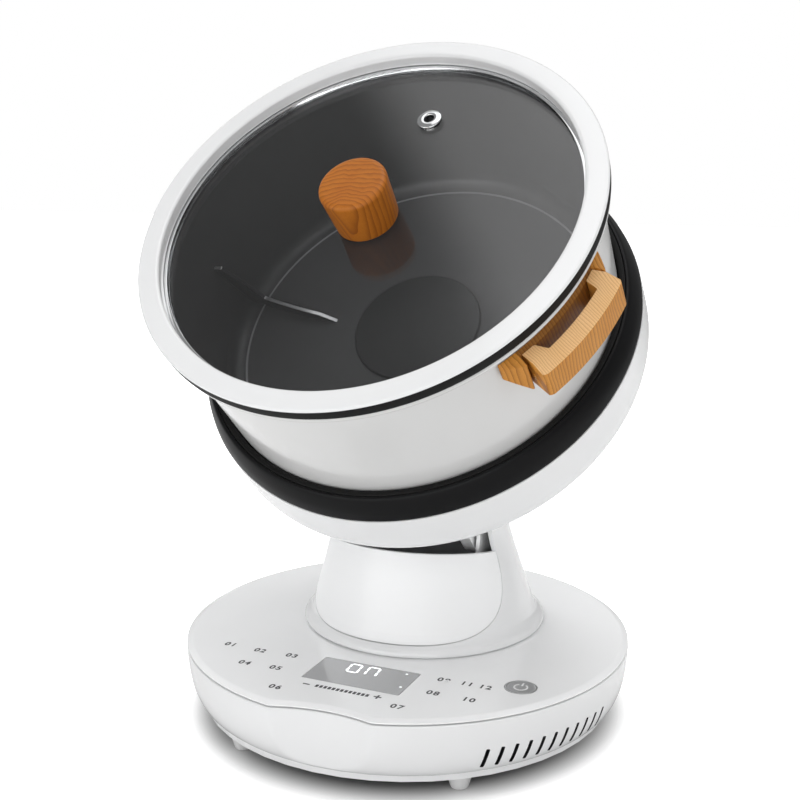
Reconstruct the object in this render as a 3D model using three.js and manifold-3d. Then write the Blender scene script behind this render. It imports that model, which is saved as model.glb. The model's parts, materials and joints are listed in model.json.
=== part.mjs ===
// Automatic stir fry machine: a round base with a control panel, a pedestal, and a tilting head
// that holds and turns a lidded pot. Millimetres, +Z up, front towards -Y.

import * as THREE from 'three';
import { mergeVertices } from 'three/addons/utils/BufferGeometryUtils.js';
import Module from 'manifold-3d';

const wasm = await Module();
wasm.setup();

// Shared clearances and facet counts
const gap = 0.3;
const overrun = 10;
const weldTolerance = 0.0001;
const wideSegments = 48;
const innerSegments = 24;
const smallSegments = 16;
const quarter = Math.PI / 2;
const degrees = Math.PI / 180;
const rightAngle = 90;

// Base: a low drum on four feet, its front turned a few degrees towards the right
const baseRadius = 150;
const baseHeight = 53;
const frontTurn = 4;
const footHeight = 10;
const shellWall = 2.5;

// Pedestal: a round neck behind the panel
const pedestalCentre = 24;
const flangeRadius = 82.3;
const neckRootRadius = 75.5;
const neckWaistRadius = 62.5;
const neckTopRadius = 58;
const neckRootRise = 19;
const neckWaistRise = 63;
const neckTopRise = 95;
const neckRootHeight = baseHeight + neckRootRise;
const neckWaistHeight = baseHeight + neckWaistRise;
const neckTopHeight = baseHeight + neckTopRise;

// Tilt hinge
const pivotSetback = 22;
const pivotRise = 77;
const pivotHeight = baseHeight + pivotRise;
const restTilt = 45 * degrees;
const pivotToHolder = 43.7;

// Head: heights here are measured along the pot's axis from the holder's outer floor
const driveDeckHigh = 20.6;
const bearingProud = 1.4;
const gearClearance = 1;
const gearWidth = 6;
const carrierThickness = 2.9;
const coilThickness = 4;
const wellFloorThickness = 2.5;
const wellDrop = 5.5;
const potHeight = 110.9;
const potRimRadius = 139;
const potTaperWidth = 2.8;
const potWaistRise = 23.5;
const potWall = 2.5;
const holderMargin = 13.8;
const holderLipRise = 5.9;
const holderCornerRadius = 26;
const pivotInset = 63.7;
const lidOverhang = 8;
const glassRecess = 9.4;
const bearingHigh = driveDeckHigh + bearingProud;
const gearLow = bearingHigh + gearClearance;
const gearHigh = gearLow + gearWidth;
const carrierHigh = gearHigh + gearClearance + carrierThickness;
const coilHigh = carrierHigh + gap + coilThickness;
const wellFloorHeight = coilHigh + gap;
const potFloorHeight = wellFloorHeight + wellFloorThickness + wellDrop;
const potWaistHeight = potFloorHeight + potWaistRise;
const potWaistRadius = potRimRadius - potTaperWidth;
const holderHeight = potFloorHeight + holderLipRise;
const holderRadius = potWaistRadius + holderMargin;
const pivotToAxis = holderRadius - pivotInset;
const lidRadius = potRimRadius + lidOverhang;

const colours = {
  white: { color: 0xe9eaea, roughness: 0.22, metalness: 0 },
  foot: { color: 0xd8d9d9, roughness: 0.6, metalness: 0 },
  darkGrey: { color: 0x2c2d2e, roughness: 0.45, metalness: 0 },
  black: { color: 0x0d0d0e, roughness: 0.6, metalness: 0 },
  display: { color: 0x6f7274, roughness: 0.1, metalness: 0 },
  nonStick: { color: 0x3c3d3f, roughness: 0.5, metalness: 0.1 },
  steel: { color: 0xb9bcbf, roughness: 0.3, metalness: 1 },
  chrome: { color: 0xdadcde, roughness: 0.08, metalness: 1 },
  copper: { color: 0xa85f35, roughness: 0.4, metalness: 1 },
  aluminium: { color: 0xa9acb0, roughness: 0.4, metalness: 1 },
  board: { color: 0x1f5a35, roughness: 0.5, metalness: 0 },
  wood: { color: 0xb8742f, roughness: 0.45, metalness: 0 },
  glass: { color: 0x55585a, roughness: 0.05, metalness: 0, transparent: true, opacity: 0.4 },
};

// Turns a closed triangle mesh into a solid: shared corners merged, empty triangles dropped,
// faces pointing out.
function solid(geometry) {
  const bare = geometry.clone();
  bare.deleteAttribute('normal');
  bare.deleteAttribute('uv');
  const merged = mergeVertices(bare, weldTolerance);
  const place = merged.getAttribute('position').array;
  const corners = merged.index.array;
  const point = (i) => new THREE.Vector3().fromArray(place, 3 * i);
  const kept = [];
  let volume = 0;
  for (let i = 0; i < corners.length; i += 3) {
    const [a, b, c] = [corners[i], corners[i + 1], corners[i + 2]];
    if (a === b || b === c || c === a) continue;
    kept.push(a, b, c);
    volume += point(a).dot(point(b).cross(point(c)));
  }
  if (volume < 0) kept.reverse();
  const mesh = new wasm.Mesh({
    numProp: 3,
    vertProperties: new Float32Array(place),
    triVerts: new Uint32Array(kept),
  });
  return new wasm.Manifold(mesh);
}

function geometryOf(shape) {
  const { vertProperties, triVerts } = shape.getMesh();
  const geometry = new THREE.BufferGeometry();
  geometry.setAttribute('position', new THREE.BufferAttribute(vertProperties, 3));
  geometry.setIndex(new THREE.BufferAttribute(triVerts, 1));
  geometry.computeVertexNormals();
  return geometry;
}

function combined(first, others, operation) {
  const result = others.reduce((whole, other) => whole[operation](solid(other)), solid(first));
  return geometryOf(result);
}

const join = (first, ...others) => combined(first, others, 'add');
const cut = (first, ...others) => combined(first, others, 'subtract');
const common = (first, ...others) => combined(first, others, 'intersect');

// Solid of revolution about +Z from [radius, height] points. A profile that stays off the axis
// closes on itself.
function turned(profile, segments = wideSegments) {
  const points = profile.map(([radius, height]) => new THREE.Vector2(radius, height));
  const onAxis = profile[0][0] === 0;
  if (!onAxis) points.push(points[0].clone());
  return new THREE.LatheGeometry(points, segments).rotateX(quarter);
}

function disc(radius, low, high, segments = wideSegments) {
  return turned([[0, low], [radius, low], [radius, high], [0, high]], segments);
}

function ring(inner, outer, low, high, segments = wideSegments) {
  return turned([[inner, low], [outer, low], [outer, high], [inner, high]], segments);
}

// A box between two opposite corners.
function block(low, high) {
  const size = high.map((value, i) => value - low[i]);
  const middle = high.map((value, i) => (value + low[i]) / 2);
  return new THREE.BoxGeometry(...size).translate(...middle);
}

function extruded(outline, depth) {
  const shape = new THREE.Shape(outline.map(([x, y]) => new THREE.Vector2(x, y)));
  return new THREE.ExtrudeGeometry(shape, { depth, bevelEnabled: false });
}

// An outline in X and Y, raised from low to high along Z.
const prism = (outline, low, high) => extruded(outline, high - low).translate(0, 0, low);

// An outline in Y and Z, drawn out from low to high along X.
function crossPrism(outline, low, high) {
  const turn = new THREE.Matrix4().makeBasis(
    new THREE.Vector3(0, 1, 0), new THREE.Vector3(0, 0, 1), new THREE.Vector3(1, 0, 0));
  return prism(outline, low, high).applyMatrix4(turn);
}

// Points on an arc about a centre, from one angle to another in degrees.
function arc([x, y], radius, from, to, steps) {
  return Array.from({ length: steps + 1 }, (_, i) => {
    const angle = (from + ((to - from) * i) / steps) * degrees;
    return [x + radius * Math.cos(angle), y + radius * Math.sin(angle)];
  });
}

const polar = (radius, angle) => arc([0, 0], radius, angle, angle, 1)[0];
const alongX = (geometry) => geometry.rotateY(quarter);

function part(group, name, geometry, finish) {
  const mesh = new THREE.Mesh(
    geometryOf(solid(geometry)), new THREE.MeshStandardMaterial(colours[finish]));
  mesh.name = name;
  group.add(mesh);
}

const machine = new THREE.Group();

// The base drum: a cover plate over a bowl-sided housing, closed by a bottom plate.
// A shallow scallop is taken out of the front of both.

const coverThickness = 2.7;
const coverChamfer = 2.7;
const coverSkirtDepth = 5;
const coverSkirtWall = 2;
const cableHoleRadius = 16;
const housingSwell = 11;
const housingBottomRadius = baseRadius - housingSwell;
const rimHeight = 4;
const housingLedge = 10;
const housingSteps = 6;
const scallopDepth = 9;
const scallopRadius = 126;
const scallopSpan = 24;
const scallopSteps = 12;
const seamHeight = baseHeight - coverThickness;
const coverLow = seamHeight + gap / 2;
const housingHigh = seamHeight - gap / 2;
const housingLow = footHeight + rimHeight;

// The solid that the scallop takes away, drawn back by an inset for inner walls.
function scallop(inset) {
  const centre = [0, scallopDepth - baseRadius - scallopRadius];
  const front = -baseRadius - overrun;
  const [start, end] = [rightAngle - scallopSpan, rightAngle + scallopSpan];
  const curve = arc(centre, scallopRadius + inset, start, end, scallopSteps);
  const [rightX] = curve[0];
  const [leftX] = curve[scallopSteps];
  return prism([...curve, [leftX, front], [rightX, front]], -overrun, baseHeight + overrun)
    .rotateZ(frontTurn * degrees);
}

// The housing's side swells as a quarter ellipse from its foot to the seam.
function housingSide(inset, low) {
  return Array.from({ length: housingSteps + 1 }, (_, i) => {
    const angle = (quarter * i) / housingSteps;
    const radius = housingBottomRadius + housingSwell * Math.sin(angle) - inset;
    return [radius, housingHigh - (housingHigh - low) * Math.cos(angle)];
  });
}

const displaySize = [66, 34];
const onBase = (shares) => shares.map((share) => share * baseRadius);
const displayCentreShares = [0.0567, -0.603];
const buttonCentreShares = [0.693, -0.447];
const displayCentre = onBase(displayCentreShares);
const buttonCentre = onBase(buttonCentreShares);
const displayThickness = 1.4;
const displayLedge = 4;
const buttonRadius = 11;
const buttonProud = 0.3;
const buttonLip = 2;
const buttonLipThickness = 1.2;
const boardThickness = 1.6;
const boardDrop = 12;
const controlBoardSize = [78, 44];
const buttonBoardSize = [32, 32];
const bossRadius = 3;
const bossInset = 3.5;
const boardHigh = seamHeight - boardDrop;

// A box standing on a centre, grown by a margin on every side.
function slab([x, y], [width, depth], margin, low, high) {
  return block(
    [x - width / 2 - margin, y - depth / 2 - margin, low],
    [x + width / 2 + margin, y + depth / 2 + margin, high]);
}

// Bosses that hang a board from the cover, one in each corner.
function boardBosses([x, y], [width, depth]) {
  const places = [[-1, -1], [1, -1], [1, 1], [-1, 1]];
  return places.map(([sideX, sideY]) => disc(bossRadius, boardHigh + gap, coverLow + gap, smallSegments / 2)
    .translate(x + sideX * (width / 2 - bossInset), y + sideY * (depth / 2 - bossInset), 0));
}

function addBaseCover() {
  const skirtRadius = baseRadius - shellWall - 2 * gap;
  const plate = turned([
    [cableHoleRadius, coverLow], [baseRadius, coverLow],
    [baseRadius - coverChamfer, baseHeight], [cableHoleRadius, baseHeight]]);
  const skirt = cut(
    ring(skirtRadius - coverSkirtWall, skirtRadius, seamHeight - coverSkirtDepth, coverLow + gap),
    scallop(shellWall + 2 * gap));
  const ledgeHigh = baseHeight - displayThickness - gap;
  const displayTop = slab(displayCentre, displaySize, gap, ledgeHigh, baseHeight + overrun);
  const displayHole = slab(displayCentre, displaySize, -displayLedge, coverLow - overrun, baseHeight);
  const buttonHole = disc(buttonRadius + gap, coverLow - overrun, baseHeight + overrun, innerSegments)
    .translate(...buttonCentre, 0);
  const bosses = [
    ...boardBosses(displayCentre, controlBoardSize),
    ...boardBosses(buttonCentre, buttonBoardSize),
  ];
  const cover = join(cut(plate, scallop(0)), skirt, ...bosses);
  part(machine, 'base_cover', cut(cover, displayTop, displayHole, buttonHole), 'white');
}

const ventCount = 13;
const ventPitch = 3.3;
const ventStart = -49;
const rearVentStart = 128;
const ventWidth = 1.8;
const ventLengthShare = 0.42;
const ventHeightShare = 0.35;
const ventSlant = 20;
const inletWidth = 28;
const inletTallShare = 0.64;
const sideHeight = seamHeight - coverSkirtDepth - housingLow;
const ventLength = sideHeight * ventLengthShare;
const ventHeight = housingLow + sideHeight * ventHeightShare;
const inletTall = sideHeight * inletTallShare;
const inletHeight = housingLow + sideHeight / 2;
const inletDepth = 22;
const inletFlange = 2;

// One slanted slot through the housing's side at an angle round the base.
function ventSlot(angle) {
  const half = [overrun, ventWidth / 2, ventLength / 2];
  return block(half.map((value) => -value), half)
    .rotateX(-ventSlant * degrees)
    .translate(baseRadius - shellWall, 0, ventHeight)
    .rotateZ(angle * degrees);
}

function addBaseHousing() {
  const inside = housingLow + shellWall;
  const bowl = turned([[0, housingLow], ...housingSide(0, housingLow), [0, housingHigh]]);
  const hollow = turned([[0, inside], ...housingSide(shellWall, inside), [0, housingHigh]]);
  const upper = disc(baseRadius - shellWall, housingHigh - gap, baseHeight);
  const innerDrum = cut(join(hollow, upper), scallop(shellWall));
  const mouth = disc(housingBottomRadius - housingLedge, -overrun, inside + gap);
  const slots = [ventStart, rearVentStart].flatMap((start) => Array.from(
    { length: ventCount }, (_, i) => ventSlot(start + i * ventPitch)));
  const inletHole = block(
    [-inletWidth / 2 - gap, baseRadius - inletDepth, inletHeight - inletTall / 2 - gap],
    [inletWidth / 2 + gap, baseRadius + overrun, inletHeight + inletTall / 2 + gap]);
  const outer = cut(bowl, scallop(0));
  const housing = cut(outer, innerDrum, mouth, ...slots, inletHole, ...baseScrewHoles());
  part(machine, 'base_housing', housing, 'white');
}

const baseScrewCount = 3;
const baseScrewRadius = 1.6;
const baseScrewHeadRadius = 3.2;
const baseScrewHeadHeight = 1.8;
const footAngle = 56;
const footTopRadius = 8.2;
const footBottomRadius = 5.3;
const footSeat = 1.2;
const plateRadius = housingBottomRadius - gap;
const plateHigh = housingLow - gap;
const plateThickness = 2;
const rimWall = 3;
const intakeMargin = 2;
const intakeCount = 6;
const footCircle = plateRadius - rimWall - footTopRadius + footSeat;
const baseScrewCircle = plateRadius - rimWall - gap - baseScrewHeadRadius;

function aroundBaseScrews(shape) {
  return Array.from({ length: baseScrewCount }, (_, i) => shape.clone()
    .translate(baseScrewCircle, 0, 0)
    .rotateZ(-quarter + ((360 * i) / baseScrewCount) * degrees));
}

function baseScrewHoles() {
  const high = housingLow + shellWall + overrun;
  return aroundBaseScrews(disc(baseScrewRadius + gap, -overrun, high, smallSegments / 2));
}

const fanCentreShares = [-0.44, 0.133];
const fanSizeShare = 0.5333;
const fanHeight = 15;
const fanBoreMargin = 3;
const fanHubRadius = 15;
const fanShaftRadius = 2.5;
const fanBladeCount = 7;
const fanBladeSweep = 34;
const fanBladeThickness = 1.6;
const powerBoardSizeShares = [0.613, 0.467];
const powerBoardCentreShares = [0.28, 0.293];
const standoffHeight = 8;
const fanSize = fanSizeShare * baseRadius;
const powerBoardSize = onBase(powerBoardSizeShares);
const fanCentre = onBase(fanCentreShares);
const powerBoardCentre = onBase(powerBoardCentreShares);
const fanLow = plateHigh + gap;
const fanHigh = fanLow + fanHeight;
const fanBore = fanSize / 2 - fanBoreMargin;

function addBottomPlate() {
  const low = plateHigh - plateThickness;
  const dish = turned([
    [0, low], [plateRadius - rimWall, low], [plateRadius - rimWall, footHeight],
    [plateRadius, footHeight], [plateRadius, plateHigh], [0, plateHigh]]);
  const [x, y] = powerBoardCentre;
  const [width, depth] = powerBoardSize;
  const standoffs = [[-1, -1], [1, -1], [1, 1], [-1, 1]].map(([sideX, sideY]) => disc(
    bossRadius, low, plateHigh + standoffHeight, smallSegments / 2)
    .translate(x + sideX * (width / 2 - bossInset), y + sideY * (depth / 2 - bossInset), 0));
  const intake = Array.from({ length: intakeCount }, (_, i) => block(
    [fanHubRadius, -ventWidth, -overrun], [fanBore - intakeMargin, ventWidth, plateHigh + overrun])
    .rotateZ(((360 * i) / intakeCount) * degrees).translate(...fanCentre, 0));
  const seats = footPlaces().map(([px, py]) => disc(
    footTopRadius + footSeat, footHeight, plateHigh - gap, smallSegments).translate(px, py, 0));
  const whole = join(dish, ...seats, ...standoffs);
  part(machine, 'bottom_plate', cut(whole, ...intake, ...baseScrewHoles()), 'white');
}

function footPlaces() {
  return [-footAngle, footAngle, 180 - footAngle, 180 + footAngle]
    .map((angle) => polar(footCircle, angle + frontTurn));
}

function addFeet() {
  footPlaces().forEach(([x, y], i) => {
    const foot = turned([
      [0, 0], [footBottomRadius, 0], [footTopRadius, footHeight - gap],
      [0, footHeight - gap]], smallSegments);
    part(machine, `foot_${i + 1}`, foot.translate(x, y, 0), 'foot');
  });
}

function addBaseScrews() {
  const low = plateHigh - plateThickness - gap;
  const screw = turned([
    [0, low - baseScrewHeadHeight], [baseScrewHeadRadius, low - baseScrewHeadHeight],
    [baseScrewHeadRadius, low], [baseScrewRadius, low],
    [baseScrewRadius, housingLow + shellWall], [0, housingLow + shellWall]], smallSegments / 2);
  aroundBaseScrews(screw).forEach((one, i) => part(machine, `base_screw_${i + 1}`, one, 'steel'));
}

// Display window, boards and the round power button on its spring.

const springWire = 0.7;
const springRadius = 6;
const springTurns = 3;
const springSteps = 10;
const springSides = 6;
const buttonHigh = baseHeight + buttonProud;
const buttonLow = coverLow - gap - buttonLipThickness;

class SpringLine extends THREE.Curve {
  constructor(radius, low, high, turns) {
    super();
    Object.assign(this, { radius, low, high, turns });
  }

  getPoint(share, target = new THREE.Vector3()) {
    const angle = 2 * Math.PI * this.turns * share;
    const height = this.low + (this.high - this.low) * share;
    return target.set(this.radius * Math.cos(angle), this.radius * Math.sin(angle), height);
  }
}

function addPanel() {
  const windowLow = baseHeight - displayThickness;
  part(machine, 'display_window', slab(displayCentre, displaySize, 0, windowLow, baseHeight), 'display');
  const boardLow = boardHigh - boardThickness;
  part(machine, 'control_board',
    slab(displayCentre, controlBoardSize, 0, boardLow, boardHigh), 'board');
  part(machine, 'button_board', slab(buttonCentre, buttonBoardSize, 0, boardLow, boardHigh), 'board');
  const cap = turned([
    [0, buttonLow], [buttonRadius + buttonLip, buttonLow],
    [buttonRadius + buttonLip, buttonLow + buttonLipThickness],
    [buttonRadius, buttonLow + buttonLipThickness],
    [buttonRadius, buttonHigh], [0, buttonHigh]], innerSegments);
  part(machine, 'power_button', cap.translate(...buttonCentre, 0), 'aluminium');
  const section = new THREE.Shape(arc([0, 0], springWire, 0, 360, springSides).slice(0, -1)
    .map(([x, y]) => new THREE.Vector2(x, y)));
  const line = new SpringLine(
    springRadius, boardHigh + gap + springWire, buttonLow - gap - springWire, springTurns);
  const spring = new THREE.ExtrudeGeometry(
    section, { steps: springTurns * springSteps, extrudePath: line, bevelEnabled: false });
  part(machine, 'button_spring', spring.translate(...buttonCentre, 0), 'steel');
}

// Power board, fan and inlet inside the base.

const capacitorRadius = 9;
const capacitorHeight = 16;
const heatSinkSize = [30, 44];
const heatSinkHeight = 14;
const transformerSize = 22;

function addPowerParts() {
  const low = plateHigh + standoffHeight + gap;
  const high = low + boardThickness;
  const [x, y] = powerBoardCentre;
  const [width, depth] = powerBoardSize;
  const plate = slab(powerBoardCentre, powerBoardSize, 0, low, high);
  const sinkHigh = high + heatSinkHeight;
  const sink = slab([x - width / 5, y], heatSinkSize, 0, low, sinkHigh);
  const coilPlace = [x + width / 4, y - depth / 5];
  const coil = slab(coilPlace, [transformerSize, transformerSize], 0, low, sinkHigh);
  const tank = disc(capacitorRadius, low, high + capacitorHeight, smallSegments)
    .translate(x + width / 4, y + depth / 4, 0);
  part(machine, 'power_board', join(plate, sink, coil, tank), 'board');

  const back = baseRadius - shellWall - inletDepth;
  const plug = (margin, from, to) => block(
    [margin - inletWidth / 2, from, inletHeight - inletTall / 2 + margin],
    [inletWidth / 2 - margin, to, inletHeight + inletTall / 2 - margin]);
  const socket = plug(0, back, baseRadius);
  const recess = plug(inletFlange, baseRadius - inletDepth / 2, baseRadius + overrun);
  part(machine, 'power_inlet', cut(socket, recess), 'black');
}

function addFan() {
  const place = [...fanCentre, 0];
  const half = fanSize / 2;
  const plate = block([-half, -half, fanLow], [half, half, fanHigh]);
  const bore = disc(fanBore, fanLow - overrun, fanHigh + overrun, innerSegments);
  const hub = disc(fanHubRadius, fanLow, fanLow + shellWall, smallSegments);
  const reach = fanBore + gap;
  const spokes = [0, 60, 120].map((angle) => block(
    [-reach, -shellWall, fanLow], [reach, shellWall, fanLow + shellWall]).rotateZ(angle * degrees));
  const pin = disc(fanShaftRadius, fanLow, fanHigh - shellWall - 2 * gap, smallSegments / 2);
  part(machine, 'fan_frame', join(cut(plate, bore), hub, ...spokes, pin).translate(...place), 'black');

  const low = fanLow + shellWall + gap;
  const high = fanHigh - gap;
  const core = disc(fanHubRadius, low, high, smallSegments);
  const tip = fanBore - 2 * gap;
  const blades = Array.from({ length: fanBladeCount }, (_, i) => block(
    [fanHubRadius - gap, -fanBladeThickness / 2, -fanHeight], [tip, fanBladeThickness / 2, fanHeight])
    .rotateX(fanBladeSweep * degrees).translate(0, 0, (low + high) / 2)
    .rotateZ(((360 * i) / fanBladeCount) * degrees));
  const slice = disc(tip, low, high, innerSegments);
  const wheel = cut(
    common(join(core, ...blades), slice),
    disc(fanShaftRadius + gap, low - overrun, high - shellWall + gap, smallSegments / 2));
  part(machine, 'fan_wheel', wheel.translate(...place), 'darkGrey');
}

// Pedestal: a hollow neck with two cheeks, a front panel let into it, and a steel fork inside.

const neckWall = 3;
const flangeHeight = 6;
const flangeLow = baseHeight + gap;
const panelLowRise = 7;
const panelFrontRise = 67;
const panelBackRise = 58.5;
const panelBackSetback = 17;
const panelFrontSetback = 81;
const panelLow = baseHeight + panelLowRise;
const panelFrontHigh = baseHeight + panelFrontRise;
const panelBackHigh = baseHeight + panelBackRise;
const panelBack = pedestalCentre - panelBackSetback;
const panelFront = pedestalCentre - panelFrontSetback;
const panelSquareness = 2.4;
const panelSteps = 9;
const panelSeam = 0.4;

// The neck's side as [radius, height] points, drawn in by an inset.
function neckSide(inset) {
  const side = [
    [flangeRadius, flangeLow], [flangeRadius, flangeLow + flangeHeight / 2],
    [flangeRadius - flangeHeight / 3, flangeLow + flangeHeight],
    [(flangeRadius + neckRootRadius) / 2, panelLow + flangeHeight / 2],
    [neckRootRadius, neckRootHeight], [neckWaistRadius, neckWaistHeight], [neckTopRadius, neckTopHeight]];
  return side.map(([radius, height]) => [radius - inset, height]);
}

// The edge of the front opening seen from the side, from its lowest point at the front up to
// its back corner. A margin pushes it outwards.
function panelEdge(margin) {
  const reach = panelBack - panelFront + margin;
  const rise = panelBackHigh - panelLow + margin;
  return Array.from({ length: panelSteps + 1 }, (_, i) => {
    const angle = (quarter * i) / panelSteps;
    const across = Math.sin(angle) ** (2 / panelSquareness);
    const down = Math.cos(angle) ** (2 / panelSquareness);
    return [panelFront + reach * across, panelBackHigh - rise * down];
  });
}

function neckSolid(inset, margin) {
  return turned([[0, flangeLow - margin], [flangeRadius - inset, flangeLow - margin],
    ...neckSide(inset), [neckTopRadius - inset, neckTopHeight + margin], [0, neckTopHeight + margin]]);
}

const forkMargin = 6.9;
const forkHalf = neckTopRadius - forkMargin;
const forkThickness = 2.5;
const forkTopRadius = 16;
const forkFootHalf = 28;
const forkFootThickness = 3;
const shaftRadius = 7;
const shaftOverhang = 2.2;
const clipThickness = 1.2;
const clipRadius = 10;
const washerThickness = 1;
const washerRadius = 15;
const armThickness = 8;
const armOuter = forkHalf - forkThickness - washerThickness - 2 * gap;
const capThickness = 2;
const capRise = 48;
const capHeight = baseHeight + capRise;
const capSlot = 0.6;
const neckCableHoleRadius = 12;

function forkOutline() {
  const foot = flangeLow;
  return [
    [pivotSetback - forkFootHalf, foot], [pivotSetback + forkFootHalf, foot],
    ...arc([pivotSetback, pivotHeight], forkTopRadius, 0, 180, panelSteps)];
}

function addPedestal() {
  const out = overrun * overrun;
  const inner = join(
    neckSolid(neckWall, overrun), disc(flangeRadius - neckWall * 2, flangeLow - overrun, flangeLow + gap));
  const shell = cut(neckSolid(0, 0), inner).translate(0, pedestalCentre, 0);
  const edge = panelEdge(0);
  const above = neckTopHeight + overrun;
  const opening = crossPrism([[-out, panelLow], ...edge, [panelBack, above], [-out, above]], -out, out);
  part(machine, 'pedestal_shell', cut(shell, opening), 'white');

  const panelOutline = [[-out, panelLow + panelSeam], ...panelEdge(-panelSeam), [-out, panelFrontHigh]];
  const slope = (panelFrontHigh - panelBackHigh) / (panelBack - panelFront);
  panelOutline[panelOutline.length - 1][1] = panelBackHigh + slope * (panelBack + out);
  part(machine, 'front_panel', common(shell, crossPrism(panelOutline, -out, out)), 'white');

  const bore = alongX(disc(shaftRadius + gap, -out, out, innerSegments))
    .translate(0, pivotSetback, pivotHeight);
  const inside = forkHalf - forkThickness;
  const uprights = cut(crossPrism(forkOutline(), -forkHalf, forkHalf),
    block([-inside, -out, flangeLow - overrun], [inside, out, pivotHeight + out]));
  const foot = block(
    [-forkHalf, pivotSetback - forkFootHalf, flangeLow],
    [forkHalf, pivotSetback + forkFootHalf, flangeLow + forkFootThickness]);
  const cableHole = disc(neckCableHoleRadius, flangeLow - overrun, baseHeight + overrun, smallSegments);
  part(machine, 'tilt_fork', cut(join(uprights, foot), bore, cableHole), 'steel');

  const capRadius = neckWaistRadius - neckWall;
  const slotCentre = forkHalf - forkThickness / 2;
  const slots = [-slotCentre, slotCentre].map((x) => slab(
    [x, pivotSetback], [forkThickness, 2 * forkFootHalf], capSlot, 0, pivotHeight));
  const cap = disc(capRadius, capHeight, capHeight + capThickness).translate(0, pedestalCentre, 0);
  part(machine, 'neck_cap', cut(cap, ...slots), 'black');
}

function addTiltShaft() {
  const place = [0, pivotSetback, pivotHeight];
  const half = forkHalf + gap + clipThickness + shaftOverhang / 2;
  const shaft = alongX(disc(shaftRadius, -half, half, innerSegments));
  part(machine, 'tilt_shaft', shaft.translate(...place), 'steel');
  const pair = (name, outer, low, thickness, finish) => {
    const shape = alongX(ring(shaftRadius + gap, outer, low, low + thickness, innerSegments));
    part(machine, `${name}_right`, shape.clone().translate(...place), finish);
    part(machine, `${name}_left`, shape.rotateZ(Math.PI).translate(...place), finish);
  };
  pair('shaft_clip', clipRadius, forkHalf + gap, clipThickness, 'steel');
  pair('friction_washer', washerRadius, armOuter + gap, washerThickness, 'black');
}

// Tilting head: built upright on the pivot, then tipped forward. The holder's own frame has its
// origin in the middle of the holder's outer floor.

const tiltGroup = new THREE.Group();
tiltGroup.position.set(0, pivotSetback, pivotHeight);
tiltGroup.rotation.x = restTilt;
machine.add(tiltGroup);
const head = new THREE.Group();
head.position.set(0, pivotToAxis, pivotToHolder);
tiltGroup.add(head);

const hubRadius = 24;
const hubRise = 22;
const hingePlateThickness = 4;
const hingePlateFront = 36;
const hingePlateBack = 46;
const hingeScrewRadius = 2;
const hingeScrewHeadRadius = 4;
const hingeScrewHeadHeight = 2;

// Screws stand near the front and back of the hinge plate.
function hingeScrewPlaces() {
  const near = hingeScrewHeadRadius * 2;
  return [near - hingePlateFront - pivotToAxis, hingePlateBack - near - pivotToAxis];
}

const holderWall = 2.5;
const cornerSteps = 4;
const postRadius = 5;
const postMargin = 2;
const cableSlotRadius = 8;

function addHinge() {
  const high = pivotToHolder - gap;
  const low = high - hingePlateThickness;
  const outline = [
    ...arc([0, 0], hubRadius, 180, 360, 2 * panelSteps), [hubRadius, hubRise],
    [hingePlateBack, low + gap], [-hingePlateFront, low + gap], [-hubRadius, hubRise]];
  const inside = armOuter - armThickness;
  const arms = cut(
    crossPrism(outline, -armOuter, armOuter),
    block([-inside, -overrun * overrun, -pivotHeight], [inside, overrun * overrun, low]));
  const plate = block([-armOuter, -hingePlateFront, low], [armOuter, hingePlateBack, high]);
  const bore = alongX(disc(shaftRadius + gap, -pivotHeight, pivotHeight, innerSegments));
  const screwHoles = hingeScrewPlaces().map((y) => disc(
    hingeScrewRadius + gap, low - overrun, high + overrun, smallSegments / 2)
    .translate(0, y + pivotToAxis, 0));
  const cable = disc(cableSlotRadius, low - overrun, high + overrun, smallSegments);
  part(tiltGroup, 'hinge_arms', cut(join(arms, plate), bore, cable, ...screwHoles), 'white');

  const screwTop = holderWall + gap + hingeScrewHeadHeight;
  const screw = turned([
    [0, low - pivotToHolder], [hingeScrewRadius, low - pivotToHolder],
    [hingeScrewRadius, holderWall + gap], [hingeScrewHeadRadius, holderWall + gap],
    [hingeScrewHeadRadius, screwTop], [0, screwTop]], smallSegments / 2);
  hingeScrewPlaces().forEach((y, i) => part(
    head, `hinge_screw_${i + 1}`, screw.clone().translate(0, y, 0), 'steel'));
}

// Holder: a white bowl, a dark collar on its rim, a black seal round the pot and the hot well.

const collarHeight = 15.9;
const collarShoulder = 1.6;
const sealClearance = 0.8;
const sealWidth = 4.2;
const sealThickness = 2.8;
const wellWall = 1.7;
const wellHoleRadius = 10;
const collarLow = holderHeight + gap;
const collarHigh = collarLow + collarHeight;
const sealInner = potWaistRadius + sealClearance;
const wellRadius = sealInner + sealWidth;
const collarTopRadius = wellRadius + gap;
const collarBottomRadius = holderRadius - gap;
const sealHigh = collarHigh + gap;
const sealLow = sealHigh - sealThickness;

function holderSide(inset) {
  const corner = holderCornerRadius - inset;
  const centre = [holderRadius - holderCornerRadius, holderCornerRadius];
  return [...arc(centre, corner, -rightAngle, 0, cornerSteps), [holderRadius - inset, holderHeight]];
}

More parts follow.
